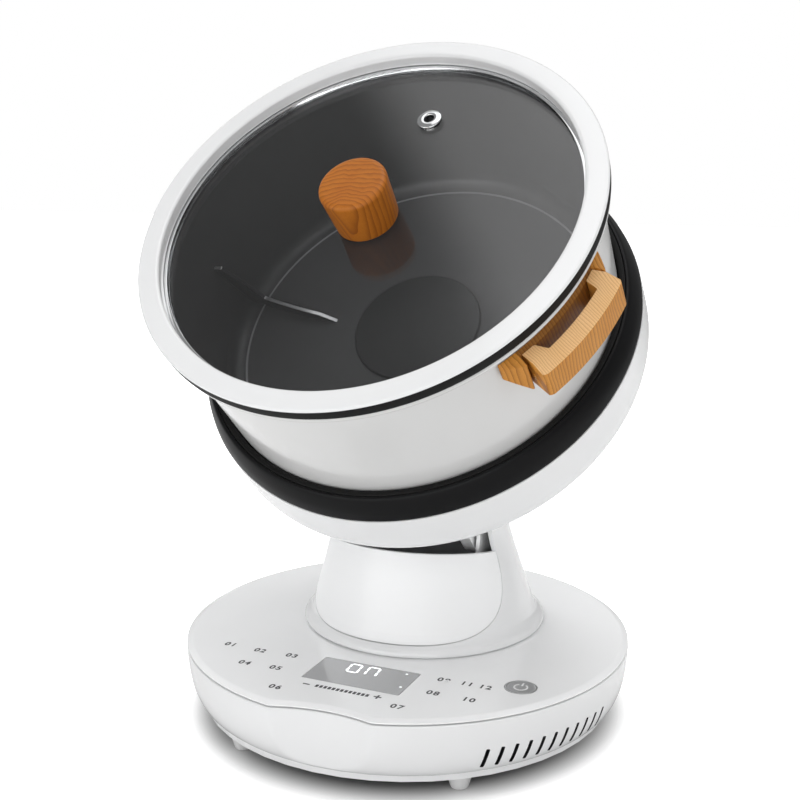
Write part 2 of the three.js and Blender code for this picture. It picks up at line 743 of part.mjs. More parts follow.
function addHolder() {
  const bowl = turned([[0, 0], ...holderSide(0), [0, holderHeight]]);
  const hollow = join(
    turned([[0, holderWall], ...holderSide(holderWall), [0, holderHeight]]),
    disc(holderRadius - holderWall, holderHeight - gap, holderHeight + overrun));
  const posts = [45, 135, 225, 315].map((angle) => disc(
    postRadius, holderWall - gap, wellFloorHeight - gap, smallSegments / 2)
    .translate(...polar(holderRadius - holderCornerRadius - postMargin, angle), 0));
  const cable = disc(cableSlotRadius, -overrun, holderWall + overrun, smallSegments)
    .translate(0, -pivotToAxis, 0);
  const screwHoles = hingeScrewPlaces().map((y) => disc(
    hingeScrewRadius + gap, -overrun, holderWall + overrun, smallSegments / 2).translate(0, y, 0));
  part(head, 'holder_bowl', cut(join(cut(bowl, hollow), ...posts), cable, ...screwHoles), 'white');

  const collar = turned([
    [collarTopRadius, collarLow], [collarBottomRadius, collarLow],
    [collarBottomRadius, collarLow + collarShoulder],
    [collarBottomRadius - collarShoulder, collarLow + collarHeight / 2],
    [collarTopRadius + 2 * collarShoulder, collarHigh - collarShoulder],
    [collarTopRadius + collarShoulder, collarHigh], [collarTopRadius, collarHigh]]);
  part(head, 'holder_collar', collar, 'darkGrey');
  part(head, 'pot_seal', ring(sealInner, wellRadius, sealLow, sealHigh), 'black');

  const wellHigh = sealLow - gap;
  const inner = wellRadius - wellWall;
  const well = turned([
    [wellHoleRadius, wellFloorHeight], [wellRadius, wellFloorHeight], [wellRadius, wellHigh],
    [inner, wellHigh], [inner, wellFloorHeight + wellFloorThickness],
    [wellHoleRadius, wellFloorHeight + wellFloorThickness]]);
  part(head, 'heater_well', well, 'black');
}

// Heater and drive under the well.

const coilInnerRadius = 34;
const coilMargin = 24.2;
const carrierLip = 4;
const carrierBarWidth = 10;
const coilOuterRadius = potWaistRadius - coilMargin;
const carrierBars = 8;

const driveDeckClearance = 4;
const driveDeckWall = 2;
const bearingOuterRadius = 9;
const spindleRadius = 5;
const gearModuleSize = 1;
const gearTeeth = 52;
const pinionTeeth = 16;
const toothRootShare = 0.3;
const toothPitchShare = 0.21;
const toothTipShare = 0.11;
const addendumShare = 1;
const dedendumShare = 1.25;
const gearDistance = (gearModuleSize * (gearTeeth + pinionTeeth)) / 2;
const motorRadius = 22;
const driveDeckRadius = gearDistance + motorRadius + driveDeckClearance + driveDeckWall;
const motorShaftRadius = 3;
const motorLift = 1.5;
const motorShaftDepth = 11;
const couplingRadius = 13;
const couplingHigh = potFloorHeight - gap;
const couplingThickness = 4;
const couplingNeckRadius = 8;
const socketRadius = 22;
const socketMargin = 0.8;

function addHeater() {
  const coil = ring(coilInnerRadius, coilOuterRadius, coilHigh - coilThickness, coilHigh, innerSegments);
  part(head, 'induction_coil', coil, 'copper');
  const low = carrierHigh - carrierThickness;
  const inner = coilInnerRadius - carrierLip;
  const outer = coilOuterRadius + carrierLip;
  const hoops = [
    ring(inner, inner + carrierBarWidth, low, carrierHigh, innerSegments),
    ring(outer - carrierBarWidth, outer, low, carrierHigh, innerSegments)];
  const bars = Array.from({ length: carrierBars }, (_, i) => block(
    [inner + gap, -carrierBarWidth / 2, low], [outer - carrierBarWidth / 2, carrierBarWidth / 2, carrierHigh])
    .rotateZ(((360 * i) / carrierBars) * degrees));
  part(head, 'coil_carrier', join(...hoops, ...bars), 'black');
}

// A spur gear blank with straight-sided teeth, the first tooth on the X axis.
function spurGear(teeth, low, high) {
  const pitch = (gearModuleSize * teeth) / 2;
  const root = pitch - dedendumShare * gearModuleSize;
  const tip = pitch + addendumShare * gearModuleSize;
  const step = 360 / teeth;
  const flank = [
    [root, -toothRootShare], [pitch, -toothPitchShare], [tip, -toothTipShare],
    [tip, toothTipShare], [pitch, toothPitchShare], [root, toothRootShare]];
  const outline = Array.from({ length: teeth }, (_, i) => flank.map(
    ([radius, share]) => polar(radius, (i + share) * step))).flat();
  return prism(outline, low, high);
}

function addDrive() {
  const deckLow = driveDeckHigh - driveDeckWall;
  const deck = cut(
    turned([
      [0, deckLow], [driveDeckRadius - driveDeckWall, deckLow],
      [driveDeckRadius - driveDeckWall, holderWall + gap], [driveDeckRadius, holderWall + gap],
      [driveDeckRadius, driveDeckHigh], [0, driveDeckHigh]], innerSegments),
    disc(bearingOuterRadius + gap, deckLow - overrun, driveDeckHigh + overrun, smallSegments),
    disc(motorShaftRadius + 2 * gap, deckLow - overrun, driveDeckHigh + overrun, smallSegments)
      .translate(0, gearDistance, 0));
  part(head, 'drive_deck', deck, 'steel');
  const bearing = ring(spindleRadius + gap, bearingOuterRadius, deckLow, bearingHigh, smallSegments);
  part(head, 'spindle_bearing', bearing, 'steel');
  const motor = ring(
    motorShaftRadius + gap, motorRadius, holderWall + motorLift, deckLow - gap, innerSegments);
  part(head, 'drive_motor', motor.translate(0, gearDistance, 0), 'steel');
  const pinion = join(
    spurGear(pinionTeeth, gearLow, gearHigh),
    disc(motorShaftRadius, gearLow - motorShaftDepth, gearHigh, smallSegments / 2));
  part(head, 'motor_pinion',
    pinion.rotateZ((180 / pinionTeeth) * degrees).translate(0, gearDistance, 0), 'steel');

  const spindle = disc(spindleRadius, deckLow - couplingThickness, couplingHigh - gap, smallSegments);
  part(head, 'spindle', spindle, 'steel');
  const wheel = cut(
    spurGear(gearTeeth, gearLow, gearHigh),
    disc(spindleRadius + gap, gearLow - overrun, gearHigh + overrun, smallSegments));
  part(head, 'drive_gear', wheel, 'white');
  const neckLow = gearHigh + gap;
  const coupling = cut(
    join(
      disc(couplingRadius, couplingHigh - couplingThickness, couplingHigh, 6),
      disc(couplingNeckRadius, neckLow, couplingHigh - couplingThickness / 2, smallSegments)),
    disc(spindleRadius + gap, neckLow - overrun, couplingHigh + overrun, smallSegments));
  part(head, 'drive_coupling', coupling, 'steel');
}

// Pot: white outside, dark inside, with one stirring fin, a hub cover and two handles.

const potRimFlange = 6.3;
const potRimThickness = 1.6;
const potHigh = potFloorHeight + potHeight;
const potCornerRadius = 14;
const potTaper = (potRimRadius - potWaistRadius) / (potHigh - potWaistHeight);

const potSideRadius = (height) => potWaistRadius + potTaper * (height - potWaistHeight);

// The pot's wall from floor to rim, drawn in by an inset.
function potSide(inset) {
  const centreHeight = potFloorHeight + potCornerRadius;
  const centreRadius = potSideRadius(centreHeight) - potCornerRadius;
  return [
    ...arc([centreRadius, centreHeight], potCornerRadius - inset, -rightAngle, 0, cornerSteps),
    [potSideRadius(potHigh) - inset, potHigh]];
}

const hubCoverRadius = 44;
const hubCoverThickness = 2.2;
const hubCoverEdge = 1;
const finRoot = 173.7;
const finLean = 6.3;
const finFloorLean = 5;
const finRise = 56.5;
const finHigh = potFloorHeight + finRise;
const finEndRadius = 60;
const finWidth = 12;
const finThickness = 3;

// The fin is cut as an L in a plane, then wrapped round the pot so that both arms lean.
function finGeometry() {
  const floor = potFloorHeight + potWall + gap;
  const inset = potWall + 2 * gap;
  const centreHeight = potFloorHeight + potCornerRadius;
  const cornerRadius = potSideRadius(centreHeight) - potCornerRadius;
  const wall = arc([cornerRadius, centreHeight], potCornerRadius - inset, -rightAngle, 0, cornerSteps);
  const inner = [
    [potSideRadius(finHigh) - inset - finWidth / 2, finHigh],
    [potSideRadius(centreHeight) - inset - finWidth, floor + 2 * finWidth],
    [cornerRadius - finWidth / 2, floor + finWidth],
    [finEndRadius + finWidth, floor + finWidth / 2]];
  const outline = [[finEndRadius, floor], ...wall, [potSideRadius(finHigh) - inset, finHigh], ...inner];
  const plate = prism(outline, -finThickness / 2, finThickness / 2);
  const place = plate.getAttribute('position');
  for (let i = 0; i < place.count; i += 1) {
    const [radius, height, across] = [place.getX(i), place.getY(i), place.getZ(i)];
    const upShare = (height - floor) / (finHigh - floor);
    const inShare = Math.max(0, (cornerRadius - radius) / (cornerRadius - finEndRadius));
    const angle = (finRoot + finLean * upShare + finFloorLean * inShare) * degrees;
    place.setXYZ(
      i, radius * Math.cos(angle) - across * Math.sin(angle),
      radius * Math.sin(angle) + across * Math.cos(angle), height);
  }
  return plate;
}

const handleAngle = -22.5;
const handleDrop = 12.4;
const handleHeight = 23.5;
const bracketHalfAngle = 20;
const bracketSeatHeight = 0.5;
const bracketThickness = 3;
const bracketTipThickness = 2;
const bracketBlockThickness = 10;
const gripReach = 21.5;
const gripThickness = 7.5;
const gripHalfAngle = 13.4;
const gripArmAngle = 9.6;
const gripCornerRadius = 3;
const gripSeamAngle = 0.5;
const gripSeam = 0.5;
const handleSteps = 8;
const tenonRadius = 2;
const tenonLength = 3;
const handleHigh = potHigh - handleDrop;
const handleLow = handleHigh - handleHeight;
const gripOuterRadius = potRimRadius + gripReach;
const gripInnerRadius = gripOuterRadius - gripThickness;
const bracketInner = potRimRadius + bracketSeatHeight;
const bracketFace = bracketInner + bracketThickness;

// The plan of a handle is drawn about the X axis and then turned into place.
function bracketOutline() {
  const blockAngle = gripHalfAngle + gripSeamAngle;
  return [
    ...arc([0, 0], bracketInner, bracketHalfAngle, -bracketHalfAngle, 2 * handleSteps),
    polar(bracketInner + bracketTipThickness, -bracketHalfAngle),
    polar(bracketInner + bracketBlockThickness, -blockAngle - gripSeamAngle),
    polar(bracketInner + bracketBlockThickness, -blockAngle),
    ...arc([0, 0], bracketFace, -blockAngle, blockAngle, 2 * handleSteps),
    polar(bracketInner + bracketBlockThickness, blockAngle),
    polar(bracketInner + bracketBlockThickness, blockAngle + gripSeamAngle),
    polar(bracketInner + bracketTipThickness, bracketHalfAngle)];
}

function gripOutline() {
  const seat = bracketFace + gripSeam;
  const cornerAngle = gripHalfAngle - gripSeamAngle * 2;
  return [
    polar(seat, -gripHalfAngle), polar(gripOuterRadius - gripCornerRadius, -gripHalfAngle),
    ...arc([0, 0], gripOuterRadius, -cornerAngle, cornerAngle, handleSteps),
    polar(gripOuterRadius - gripCornerRadius, gripHalfAngle), polar(seat, gripHalfAngle),
    polar(seat, gripArmAngle),
    ...arc([0, 0], gripInnerRadius, gripArmAngle - gripSeamAngle, gripSeamAngle - gripArmAngle, handleSteps),
    polar(seat, -gripArmAngle)];
}

// Round tenons stand out from the ends of the grip's arms into the bracket's end blocks.
function tenons(margin) {
  const middle = (handleLow + handleHigh) / 2;
  const reach = bracketFace + bracketTipThickness;
  const peg = disc(tenonRadius + margin, -tenonLength, tenonLength + margin, smallSegments / 2);
  return [-1, 1].map((side) => peg.clone()
    .rotateX(-side * quarter).translate(reach, 0, middle).rotateZ(side * gripHalfAngle * degrees));
}

function addPot() {
  const inside = potFloorHeight + potWall;
  const inner = potSide(potWall).reverse();
  const flangeEdge = potRimRadius + potRimFlange;
  const shell = turned([
    [0, potFloorHeight], ...potSide(0).slice(0, -1),
    [potSideRadius(potHigh - potRimThickness), potHigh - potRimThickness],
    [flangeEdge, potHigh - potRimThickness], [flangeEdge, potHigh],
    ...inner, [0, inside]]);
  part(head, 'pot_shell', shell, 'nonStick');
  const cover = turned([
    [0, inside + gap], [hubCoverRadius, inside + gap],
    [hubCoverRadius - hubCoverEdge, inside + gap + hubCoverThickness],
    [0, inside + gap + hubCoverThickness]], innerSegments);
  part(head, 'hub_cover', cover, 'nonStick');
  part(head, 'stirring_fin', finGeometry(), 'nonStick');
  const socket = cut(
    disc(socketRadius, couplingHigh - couplingThickness - gap, couplingHigh, innerSegments),
    disc(couplingRadius + socketMargin, wellFloorHeight, couplingHigh + overrun, 6));
  part(head, 'drive_socket', socket, 'steel');

  const bracket = cut(prism(bracketOutline(), handleLow, handleHigh), ...tenons(gap));
  const grip = join(prism(gripOutline(), handleLow, handleHigh), ...tenons(0));
  const sides = { right: handleAngle, left: handleAngle + 180 };
  for (const [side, angle] of Object.entries(sides)) {
    part(head, `handle_bracket_${side}`, bracket.clone().rotateZ(angle * degrees), 'wood');
    part(head, `handle_grip_${side}`, grip.clone().rotateZ(angle * degrees), 'wood');
  }
}

// Lid: a glass plate in a bright band, under a wide white ring with a black gasket.

const gasketThickness = 5.4;
const gasketWidth = 9.3;
const gasketInset = 0.7;
const gasketOuter = lidRadius - gasketInset;
const gasketInner = gasketOuter - gasketWidth;
const lidRingHeight = 4.4;
const lidRingWidth = 14;
const lidRingInner = lidRadius - lidRingWidth;
const lidRingSkirt = 2;
const lidRingEdge = 1.5;
const glassThickness = 4;
const bandWidth = 4;
const bandOuter = lidRingInner + bandWidth / 2;
const bandInner = lidRingInner - bandWidth / 2;
const bandWall = 1.1;
const bandLip = 0.7;
const glassRadius = bandOuter - bandWall - 2 * gap;
const knobLowRadius = 19.6;
const knobHighRadius = 21.2;
const knobHeight = 30.4;
const knobRounding = 1.5;
const knobScrewRadius = 2.5;
const knobScrewHeadRadius = 7;
const knobScrewReach = 14;
const eyeletRadius = 9;
const eyeletTubeRadius = 6;
const eyeletBoreRadius = 3.5;
const eyeletThickness = 1.5;
const eyeletInset = 48.5;
const eyeletCircle = lidRingInner - eyeletInset;
const eyeletAngle = 79.4;
const gasketLow = potHigh + gap;
const lidLow = gasketLow + gasketThickness + gap;
const lidHigh = lidLow + lidRingHeight;
const glassHigh = lidHigh - glassRecess;
const glassLow = glassHigh - glassThickness;

function addLid() {
  part(head, 'lid_gasket', ring(gasketInner, gasketOuter, gasketLow, gasketLow + gasketThickness), 'black');
  const skirtLow = glassHigh + gap + bandLip + gap;
  const lidRing = turned([
    [lidRingInner, skirtLow], [lidRingInner + lidRingSkirt, skirtLow],
    [lidRingInner + lidRingSkirt, lidLow], [lidRadius, lidLow],
    [lidRadius, lidHigh - 2 * lidRingEdge], [lidRadius - lidRingEdge, lidHigh - lidRingEdge / 2],
    [lidRingInner + lidRingEdge, lidHigh], [lidRingInner, lidHigh - lidRingEdge / 2]]);
  part(head, 'lid_ring', lidRing, 'white');
  const lipLow = glassLow - gap - bandLip;
  const lipHigh = glassHigh + gap + bandLip;
  const band = turned([
    [bandInner, lipLow], [bandOuter, lipLow], [bandOuter, lipHigh], [bandInner, lipHigh],
    [bandInner, lipHigh - bandLip], [bandOuter - bandWall, lipHigh - bandLip],
    [bandOuter - bandWall, lipLow + bandLip], [bandInner, lipLow + bandLip]]);
  part(head, 'lid_band', band, 'chrome');

  const through = (radius) => disc(radius, glassLow - overrun, glassHigh + overrun, smallSegments);
  const eyeletPlace = [...polar(eyeletCircle, eyeletAngle), 0];
  const glass = cut(
    disc(glassRadius, glassLow, glassHigh),
    through(knobScrewRadius + gap), through(eyeletTubeRadius + gap).translate(...eyeletPlace));
  part(head, 'lid_glass', glass, 'glass');

  const knobLow = glassHigh + gap;
  const knobHigh = knobLow + knobHeight;
  const knob = cut(
    turned([
      [0, knobLow], [knobLowRadius, knobLow], [knobHighRadius, knobHigh - knobRounding],
      [knobHighRadius - knobRounding, knobHigh], [0, knobHigh]], innerSegments),
    disc(knobScrewRadius + gap, knobLow - overrun, knobLow + knobScrewReach + gap, smallSegments));
  part(head, 'lid_knob', knob, 'wood');
  const screwLow = glassLow - gap;
  const knobScrew = turned([
    [0, screwLow - 2 * gap - bandLip], [knobScrewHeadRadius, screwLow - 2 * gap - bandLip],
    [knobScrewHeadRadius, screwLow], [knobScrewRadius, screwLow],
    [knobScrewRadius, knobLow + knobScrewReach], [0, knobLow + knobScrewReach]], smallSegments);
  part(head, 'knob_screw', knobScrew, 'steel');
  const eyelet = turned([
    [eyeletBoreRadius, glassLow - gap], [eyeletTubeRadius, glassLow - gap], [eyeletTubeRadius, knobLow],
    [eyeletRadius, knobLow], [eyeletRadius, knobLow + eyeletThickness / 2],
    [eyeletTubeRadius, knobLow + eyeletThickness],
    [eyeletBoreRadius, knobLow + eyeletThickness]], smallSegments);
  part(head, 'vent_eyelet', eyelet.translate(...eyeletPlace), 'chrome');
}

addBaseCover();
addBaseHousing();
addBottomPlate();
addFeet();
addBaseScrews();
addPanel();
addPowerParts();
addFan();
addPedestal();
addTiltShaft();
addHinge();
addHolder();
addHeater();
addDrive();
addPot();
addLid();

// The origin lies on the floor under the middle of the machine, front to back.
const rimAcross = pivotToAxis - lidRadius + lidRingEdge;
const rimAlong = pivotToHolder + lidHigh - lidRingEdge / 2;
const rimForward = rimAcross * Math.cos(restTilt) - rimAlong * Math.sin(restTilt);
machine.position.y = -(pivotSetback + rimForward + baseRadius) / 2;

export default machine;
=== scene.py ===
"""Automatic stir fry machine: a white base with a control panel, a pedestal, and a tilted
holder that carries a lidded pot. The file follows the machine as it is put together, from the
feet up. Places are in the frame's metres, the sizes of the pieces in millimetres and turns
in degrees. A third number in an outline's point is the radius of that corner."""

import json
import math

import bmesh
import bpy
from mathutils import Matrix, Vector


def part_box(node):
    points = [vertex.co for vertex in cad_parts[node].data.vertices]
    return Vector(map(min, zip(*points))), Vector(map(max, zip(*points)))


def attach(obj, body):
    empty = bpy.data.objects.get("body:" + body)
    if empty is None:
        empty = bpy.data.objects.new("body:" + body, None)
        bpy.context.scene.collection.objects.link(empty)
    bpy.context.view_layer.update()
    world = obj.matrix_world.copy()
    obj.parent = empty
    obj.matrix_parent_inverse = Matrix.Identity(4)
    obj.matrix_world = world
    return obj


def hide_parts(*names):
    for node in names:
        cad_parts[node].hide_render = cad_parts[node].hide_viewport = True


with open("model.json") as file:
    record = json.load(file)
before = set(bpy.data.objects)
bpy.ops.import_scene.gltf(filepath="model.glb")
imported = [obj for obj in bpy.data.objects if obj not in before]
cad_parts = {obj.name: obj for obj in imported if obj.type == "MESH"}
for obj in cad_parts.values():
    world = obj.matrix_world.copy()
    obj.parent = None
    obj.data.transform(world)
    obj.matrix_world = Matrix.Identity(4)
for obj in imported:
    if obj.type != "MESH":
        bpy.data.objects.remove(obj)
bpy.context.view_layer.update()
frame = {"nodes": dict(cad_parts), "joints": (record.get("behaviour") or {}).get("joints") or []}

# Camera. It stands to the right of the control panel and looks slightly down at the machine,
# about 0.8 m away. The machine's own centre line lies a little behind the frame's origin.

shift = (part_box("base_cover")[0].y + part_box("base_cover")[1].y) / 2
CAMERA_TURN, CAMERA_DIP = 24.15, 11.18
camera_data = bpy.data.cameras.new("camera")
camera_data.sensor_width = 36
camera_data.lens = 55.5
camera_data.clip_start = 0.05
camera = bpy.data.objects.new("camera", camera_data)
camera.location = (0.3246, shift - 0.7366, 0.3696)
camera.rotation_euler = (math.radians(90 - CAMERA_DIP), 0, math.radians(CAMERA_TURN))
bpy.context.scene.collection.objects.link(camera)
bpy.context.scene.camera = camera

# Feet. Four solid tapered pads of pale plastic, moulded in one piece each and pushed into
# seats under the bottom plate. Each is turned about an upright line from a rounded outline.

MM = 0.001
BLACK_TONE = (0, 0, 0)


def add(tree, kind, inputs=(), **settings):
    """A shader node with its settings; an input is a socket to link or a constant to set."""
    made = tree.nodes.new("ShaderNode" + kind)
    for key, value in settings.items():
        setattr(made, key, value)
    for key, value in dict(inputs).items():
        if isinstance(value, bpy.types.NodeSocket):
            tree.links.new(value, made.inputs[key])
        else:
            made.inputs[key].default_value = value
    return made


def maths(tree, operation, *values):
    return add(tree, "Math", dict(enumerate(values)), operation=operation).outputs[0]


def mixed(tree, share, first, second):
    """Two colours mixed; each is a socket to link or three numbers."""
    first, second = ((*end, 1) if isinstance(end, tuple) else end for end in (first, second))
    return add(tree, "Mix", {0: share, 6: first, 7: second}, data_type="RGBA").outputs[2]


def ramp(tree, value, start, end, low=0.0, high=1.0, kind="SMOOTHSTEP"):
    """A value that runs from low to high while another runs from start to end."""
    inputs = {0: value, 1: start, 2: end, 3: low, 4: high}
    return add(tree, "MapRange", inputs, interpolation_type=kind).outputs[0]


def spread(tree, value, low, high):
    """A value between 0 and 1 laid out between two others."""
    return ramp(tree, value, 0.0, 1.0, low, high, "LINEAR")


def place_of(tree):
    return add(tree, "TexCoord").outputs["Object"]


def group(name, inputs, outputs):
    """A shared effect: its tree, its inner source sockets and its inner result sockets."""
    tree = bpy.data.node_groups.new(name, "ShaderNodeTree")
    for key, kind, value in inputs:
        socket = tree.interface.new_socket(key, in_out="INPUT", socket_type="NodeSocket" + kind)
        if value is not None:
            socket.default_value = value
    for key, kind in outputs:
        tree.interface.new_socket(key, in_out="OUTPUT", socket_type="NodeSocket" + kind)
    return tree, tree.nodes.new("NodeGroupInput").outputs, tree.nodes.new("NodeGroupOutput").inputs


def use(tree, shared, inputs=()):
    """Places a shared effect in a material and returns what it puts out."""
    return add(tree, "Group", inputs, node_tree=shared).outputs


def material(name, finish):
    """A material with a Principled surface. Returns the material, its tree and the shader."""
    made = bpy.data.materials.new(name)
    made.use_nodes = True
    shader = made.node_tree.nodes["Principled BSDF"]
    for key, value in finish.items():
        shader.inputs[key].default_value = value
    return made, made.node_tree, shader


def surface(tree, shader, colour, roughness, normal=None):
    """Links what varies over a surface to its shader."""
    tree.links.new(colour, shader.inputs["Base Color"])
    tree.links.new(roughness, shader.inputs["Roughness"])
    if normal is not None:
        tree.links.new(normal, shader.inputs["Normal"])


# Fine unevenness of a moulded or coated surface: a tone near 1 and a slightly rough normal.
moulded, source, out = group(
    "moulded",
    [("Grain", "Float", 900.0), ("Depth", "Float", 0.05), ("Tone", "Float", 0.03)],
    [("Tone", "Float"), ("Patch", "Float"), ("Normal", "Vector")])
patches = add(moulded, "TexNoise", {"Vector": place_of(moulded), "Scale": 22.0, "Detail": 3.0})
grain = add(moulded, "TexNoise", {"Vector": place_of(moulded), "Scale": source["Grain"], "Detail": 2.0})
darkest = maths(moulded, "SUBTRACT", 1.0, source["Tone"])
moulded.links.new(spread(moulded, patches.outputs[0], darkest, 1.0), out["Tone"])
moulded.links.new(patches.outputs[0], out["Patch"])
rough = add(moulded, "Bump", {"Strength": source["Depth"], "Distance": 0.0002, "Height": grain.outputs[0]})
moulded.links.new(rough.outputs[0], out["Normal"])


def plastic(name, colour, low, high, grain=900.0, depth=0.05, tone=0.03, **finish):
    """A moulded plastic whose roughness runs from low to high in soft patches."""
    made, tree, shader = material(name, {key.replace("_", " "): value for key, value in finish.items()})
    skin = use(tree, moulded, {"Grain": grain, "Depth": depth, "Tone": tone})
    shade = mixed(tree, skin["Tone"], BLACK_TONE, colour)
    surface(tree, shader, shade, spread(tree, skin["Patch"], low, high), skin["Normal"])
    return made


def rounded(points, closed=True, steps=4):
    """An outline whose corners are drawn as soft curves; a third number rounds that corner."""
    result = []
    for i, point in enumerate(points):
        here = Vector(point[:2])
        if len(point) < 3 or (not closed and i in (0, len(points) - 1)):
            result.append(tuple(here))
            continue
        before = Vector(points[i - 1][:2]) - here
        after = Vector(points[(i + 1) % len(points)][:2]) - here
        start = here + before.normalized() * min(point[2], before.length * 0.49)
        end = here + after.normalized() * min(point[2], after.length * 0.49)
        for step in range(steps + 1):
            s = step / steps
            result.append(tuple(start * (1 - s) ** 2 + here * 2 * s * (1 - s) + end * s * s))
    return result


def lathe_mesh(profile, count=192):
    """A closed solid of revolution about Z; a profile that leaves the axis closes on itself."""
    built = bmesh.new()
    columns = []
    poles = {}
    for i in range(count):
        angle = 2 * math.pi * i / count
        column = []
        for j, (radius, height) in enumerate(profile):
            if radius < 1e-6:
                if j not in poles:
                    poles[j] = built.verts.new((0, 0, height))
                column.append(poles[j])
            else:
                column.append(built.verts.new((radius * math.cos(angle), radius * math.sin(angle), height)))
        columns.append(column)
    on_axis = profile[0][0] < 1e-6 and profile[-1][0] < 1e-6
    last = len(profile) - 1 if on_axis else len(profile)
    for i in range(count):
        first, second = columns[i], columns[(i + 1) % count]
        for j in range(last):
            k = (j + 1) % len(profile)
            corners = []
            for vert in (first[j], second[j], second[k], first[k]):
                if vert not in corners:
                    corners.append(vert)
            if len(corners) > 2:
                built.faces.new(corners)
    return built


SHARP_EDGE = 32


def smooth(mesh):
    for face in mesh.polygons:
        face.use_smooth = True
    mesh.set_sharp_from_angle(angle=math.radians(SHARP_EDGE))


def finish_mesh(name, built, place, finish):
    """Turns a worked mesh into an object with a finish, smooth but for its sharp edges."""
    bmesh.ops.recalc_face_normals(built, faces=built.faces)
    built.transform(place)
    mesh = bpy.data.meshes.new(name)
    built.to_mesh(mesh)
    built.free()
    smooth(mesh)
    made = bpy.data.objects.new(name, mesh)
    bpy.context.scene.collection.objects.link(made)
    for one in finish if isinstance(finish, list) else [finish]:
        mesh.materials.append(one)
    return made


def lathe(name, profile, place, finish, count=192):
    return finish_mesh(name, lathe_mesh(profile, count), place, finish)


def stands_for(made, body, slot_name, *names):
    """Lets a piece ride on a body in place of the named solids; the slot's name is not used."""
    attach(made, body)
    if names:
        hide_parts(*names)
    return made


FOOT = plastic("foot_plastic", (0.8, 0.8, 0.8), 0.45, 0.6, depth=0.15)
for i in range(4):
    low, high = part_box(f"foot_{i + 1}")
    centre = Matrix.Translation(((low.x + high.x) / 2, (low.y + high.y) / 2, 0)) @ Matrix.Scale(MM, 4)
    foot = lathe(f"foot_pad_{i + 1}", rounded([
        (0, 0), (5.3, 0, 1.2), (8.2, 9.7), (0, 9.7)], closed=False), centre, FOOT, 48)
    stands_for(foot, "base", "foot", f"foot_{i + 1}")

# Bottom plate and what stands on it. The plate is the white lower shell that closes the drum,
# held by steel screws; the fan, the green power board and the mains inlet are fixed inside.

WHITE = plastic("white_gloss", (0.84, 0.845, 0.85), 0.09, 0.16, Coat_Weight=0.3, Coat_Roughness=0.04)
BLACK = plastic("black_plastic", (0.012, 0.012, 0.013), 0.4, 0.55, grain=1600.0, depth=0.2)


def length_of(tree, vector):
    return add(tree, "VectorMath", {0: vector}, operation="LENGTH").outputs["Value"]


def from_axis(tree, vector):
    """The three parts of a place, and how far it lies from the Z axis."""
    parts = add(tree, "SeparateXYZ", {0: vector}).outputs
    flat = add(tree, "CombineXYZ", {0: parts[0], 1: parts[1]}).outputs[0]
    return parts, length_of(tree, flat)


# Turned or brushed metal: fine rings about the Z axis of the vector that goes in.
brushed, source, out = group(
    "brushed",
    [("Vector", "Vector", None), ("Lines", "Float", 3500.0), ("Depth", "Float", 0.1)],
    [("Line", "Float"), ("Normal", "Vector")])
split, radius = from_axis(brushed, source["Vector"])
stretched = add(brushed, "CombineXYZ", {0: radius, 1: split[2]}).outputs[0]
lines = add(brushed, "TexNoise", {"Vector": stretched, "Scale": source["Lines"], "Detail": 1.0})
brushed.links.new(lines.outputs[0], out["Line"])
scored = add(brushed, "Bump", {"Strength": source["Depth"], "Distance": 0.0001, "Height": lines.outputs[0]})
brushed.links.new(scored.outputs[0], out["Normal"])


def metal(name, colour, low, high, lines=3500.0, depth=0.1, space=None):
    """A metal with fine turning marks about the machine's axis or that of another space."""
    made, tree, shader = material(name, {"Metallic": 1.0})
    vector = use(tree, space)[0] if space else place_of(tree)
    marks = use(tree, brushed, {"Vector": vector, "Lines": lines, "Depth": depth})
    shade = mixed(tree, marks["Line"], tuple(0.8 * value for value in colour), colour)
    surface(tree, shader, shade, spread(tree, marks["Line"], low, high), marks["Normal"])
    return made


STEEL = metal("brushed_steel", (0.62, 0.63, 0.64), 0.22, 0.38)
BOARD, tree, shader = material("circuit_board", {"Coat Weight": 0.4, "Coat Roughness": 0.2})
tracks = add(tree, "TexBrick", {
    "Vector": place_of(tree), "Scale": 120.0, "Mortar Size": 0.03, "Color1": (0.01, 0.11, 0.04, 1),
    "Color2": (0.012, 0.14, 0.05, 1), "Mortar": (0.3, 0.22, 0.08, 1)})
skin = use(tree, moulded, {"Grain": 300.0, "Depth": 0.2})
surface(tree, shader, tracks.outputs["Color"], spread(tree, skin["Patch"], 0.35, 0.55), skin["Normal"])


def dress(finish, *names):
    """Gives a finish to solids that keep their own shape."""
    for name in names:
        for slot in frame["nodes"][name].material_slots:
            slot.material = finish


dress(WHITE, "bottom_plate")
dress(STEEL, "base_screw_1", "base_screw_2", "base_screw_3")
dress(BLACK, "power_inlet", "fan_frame", "fan_wheel")
dress(BOARD, "power_board")

# Drum. One white moulding with a swelling side, open above for the cover; a shallow scallop is let into
# its front, and slanted vents, lined black as painted shade, run round its right front and left back.

BASE = Matrix.Translation((0, shift, 0)) @ Matrix.Scale(MM, 4)
AXES_YZ = Matrix(((0, 0, 1, 0), (1, 0, 0, 0), (0, 1, 0, 0), (0, 0, 0, 1)))
FRONT_TURN = 3.2
SCALLOP_PLACE, SCALLOP_RADIUS, SCALLOP_BLEND = 241, 100, 1.6
BASE_RADIUS, WALL = 150, 2.5
DRUM_FOOT, DRUM_WAIST, DRUM_HEIGHT = 139, 50.15, 36.15
VENT_STARTS = {"right": -48.2, "left": 128.8}
VENT_COUNT, VENT_PITCH, VENT_LEAN = 11, 3.72, 12
VENT_SIZE, VENT_SPOT = (2.6, 13.2), (147.5, 0, 24.95)


def turn(angle):
    return Matrix.Rotation(math.radians(angle), 4, "Z")


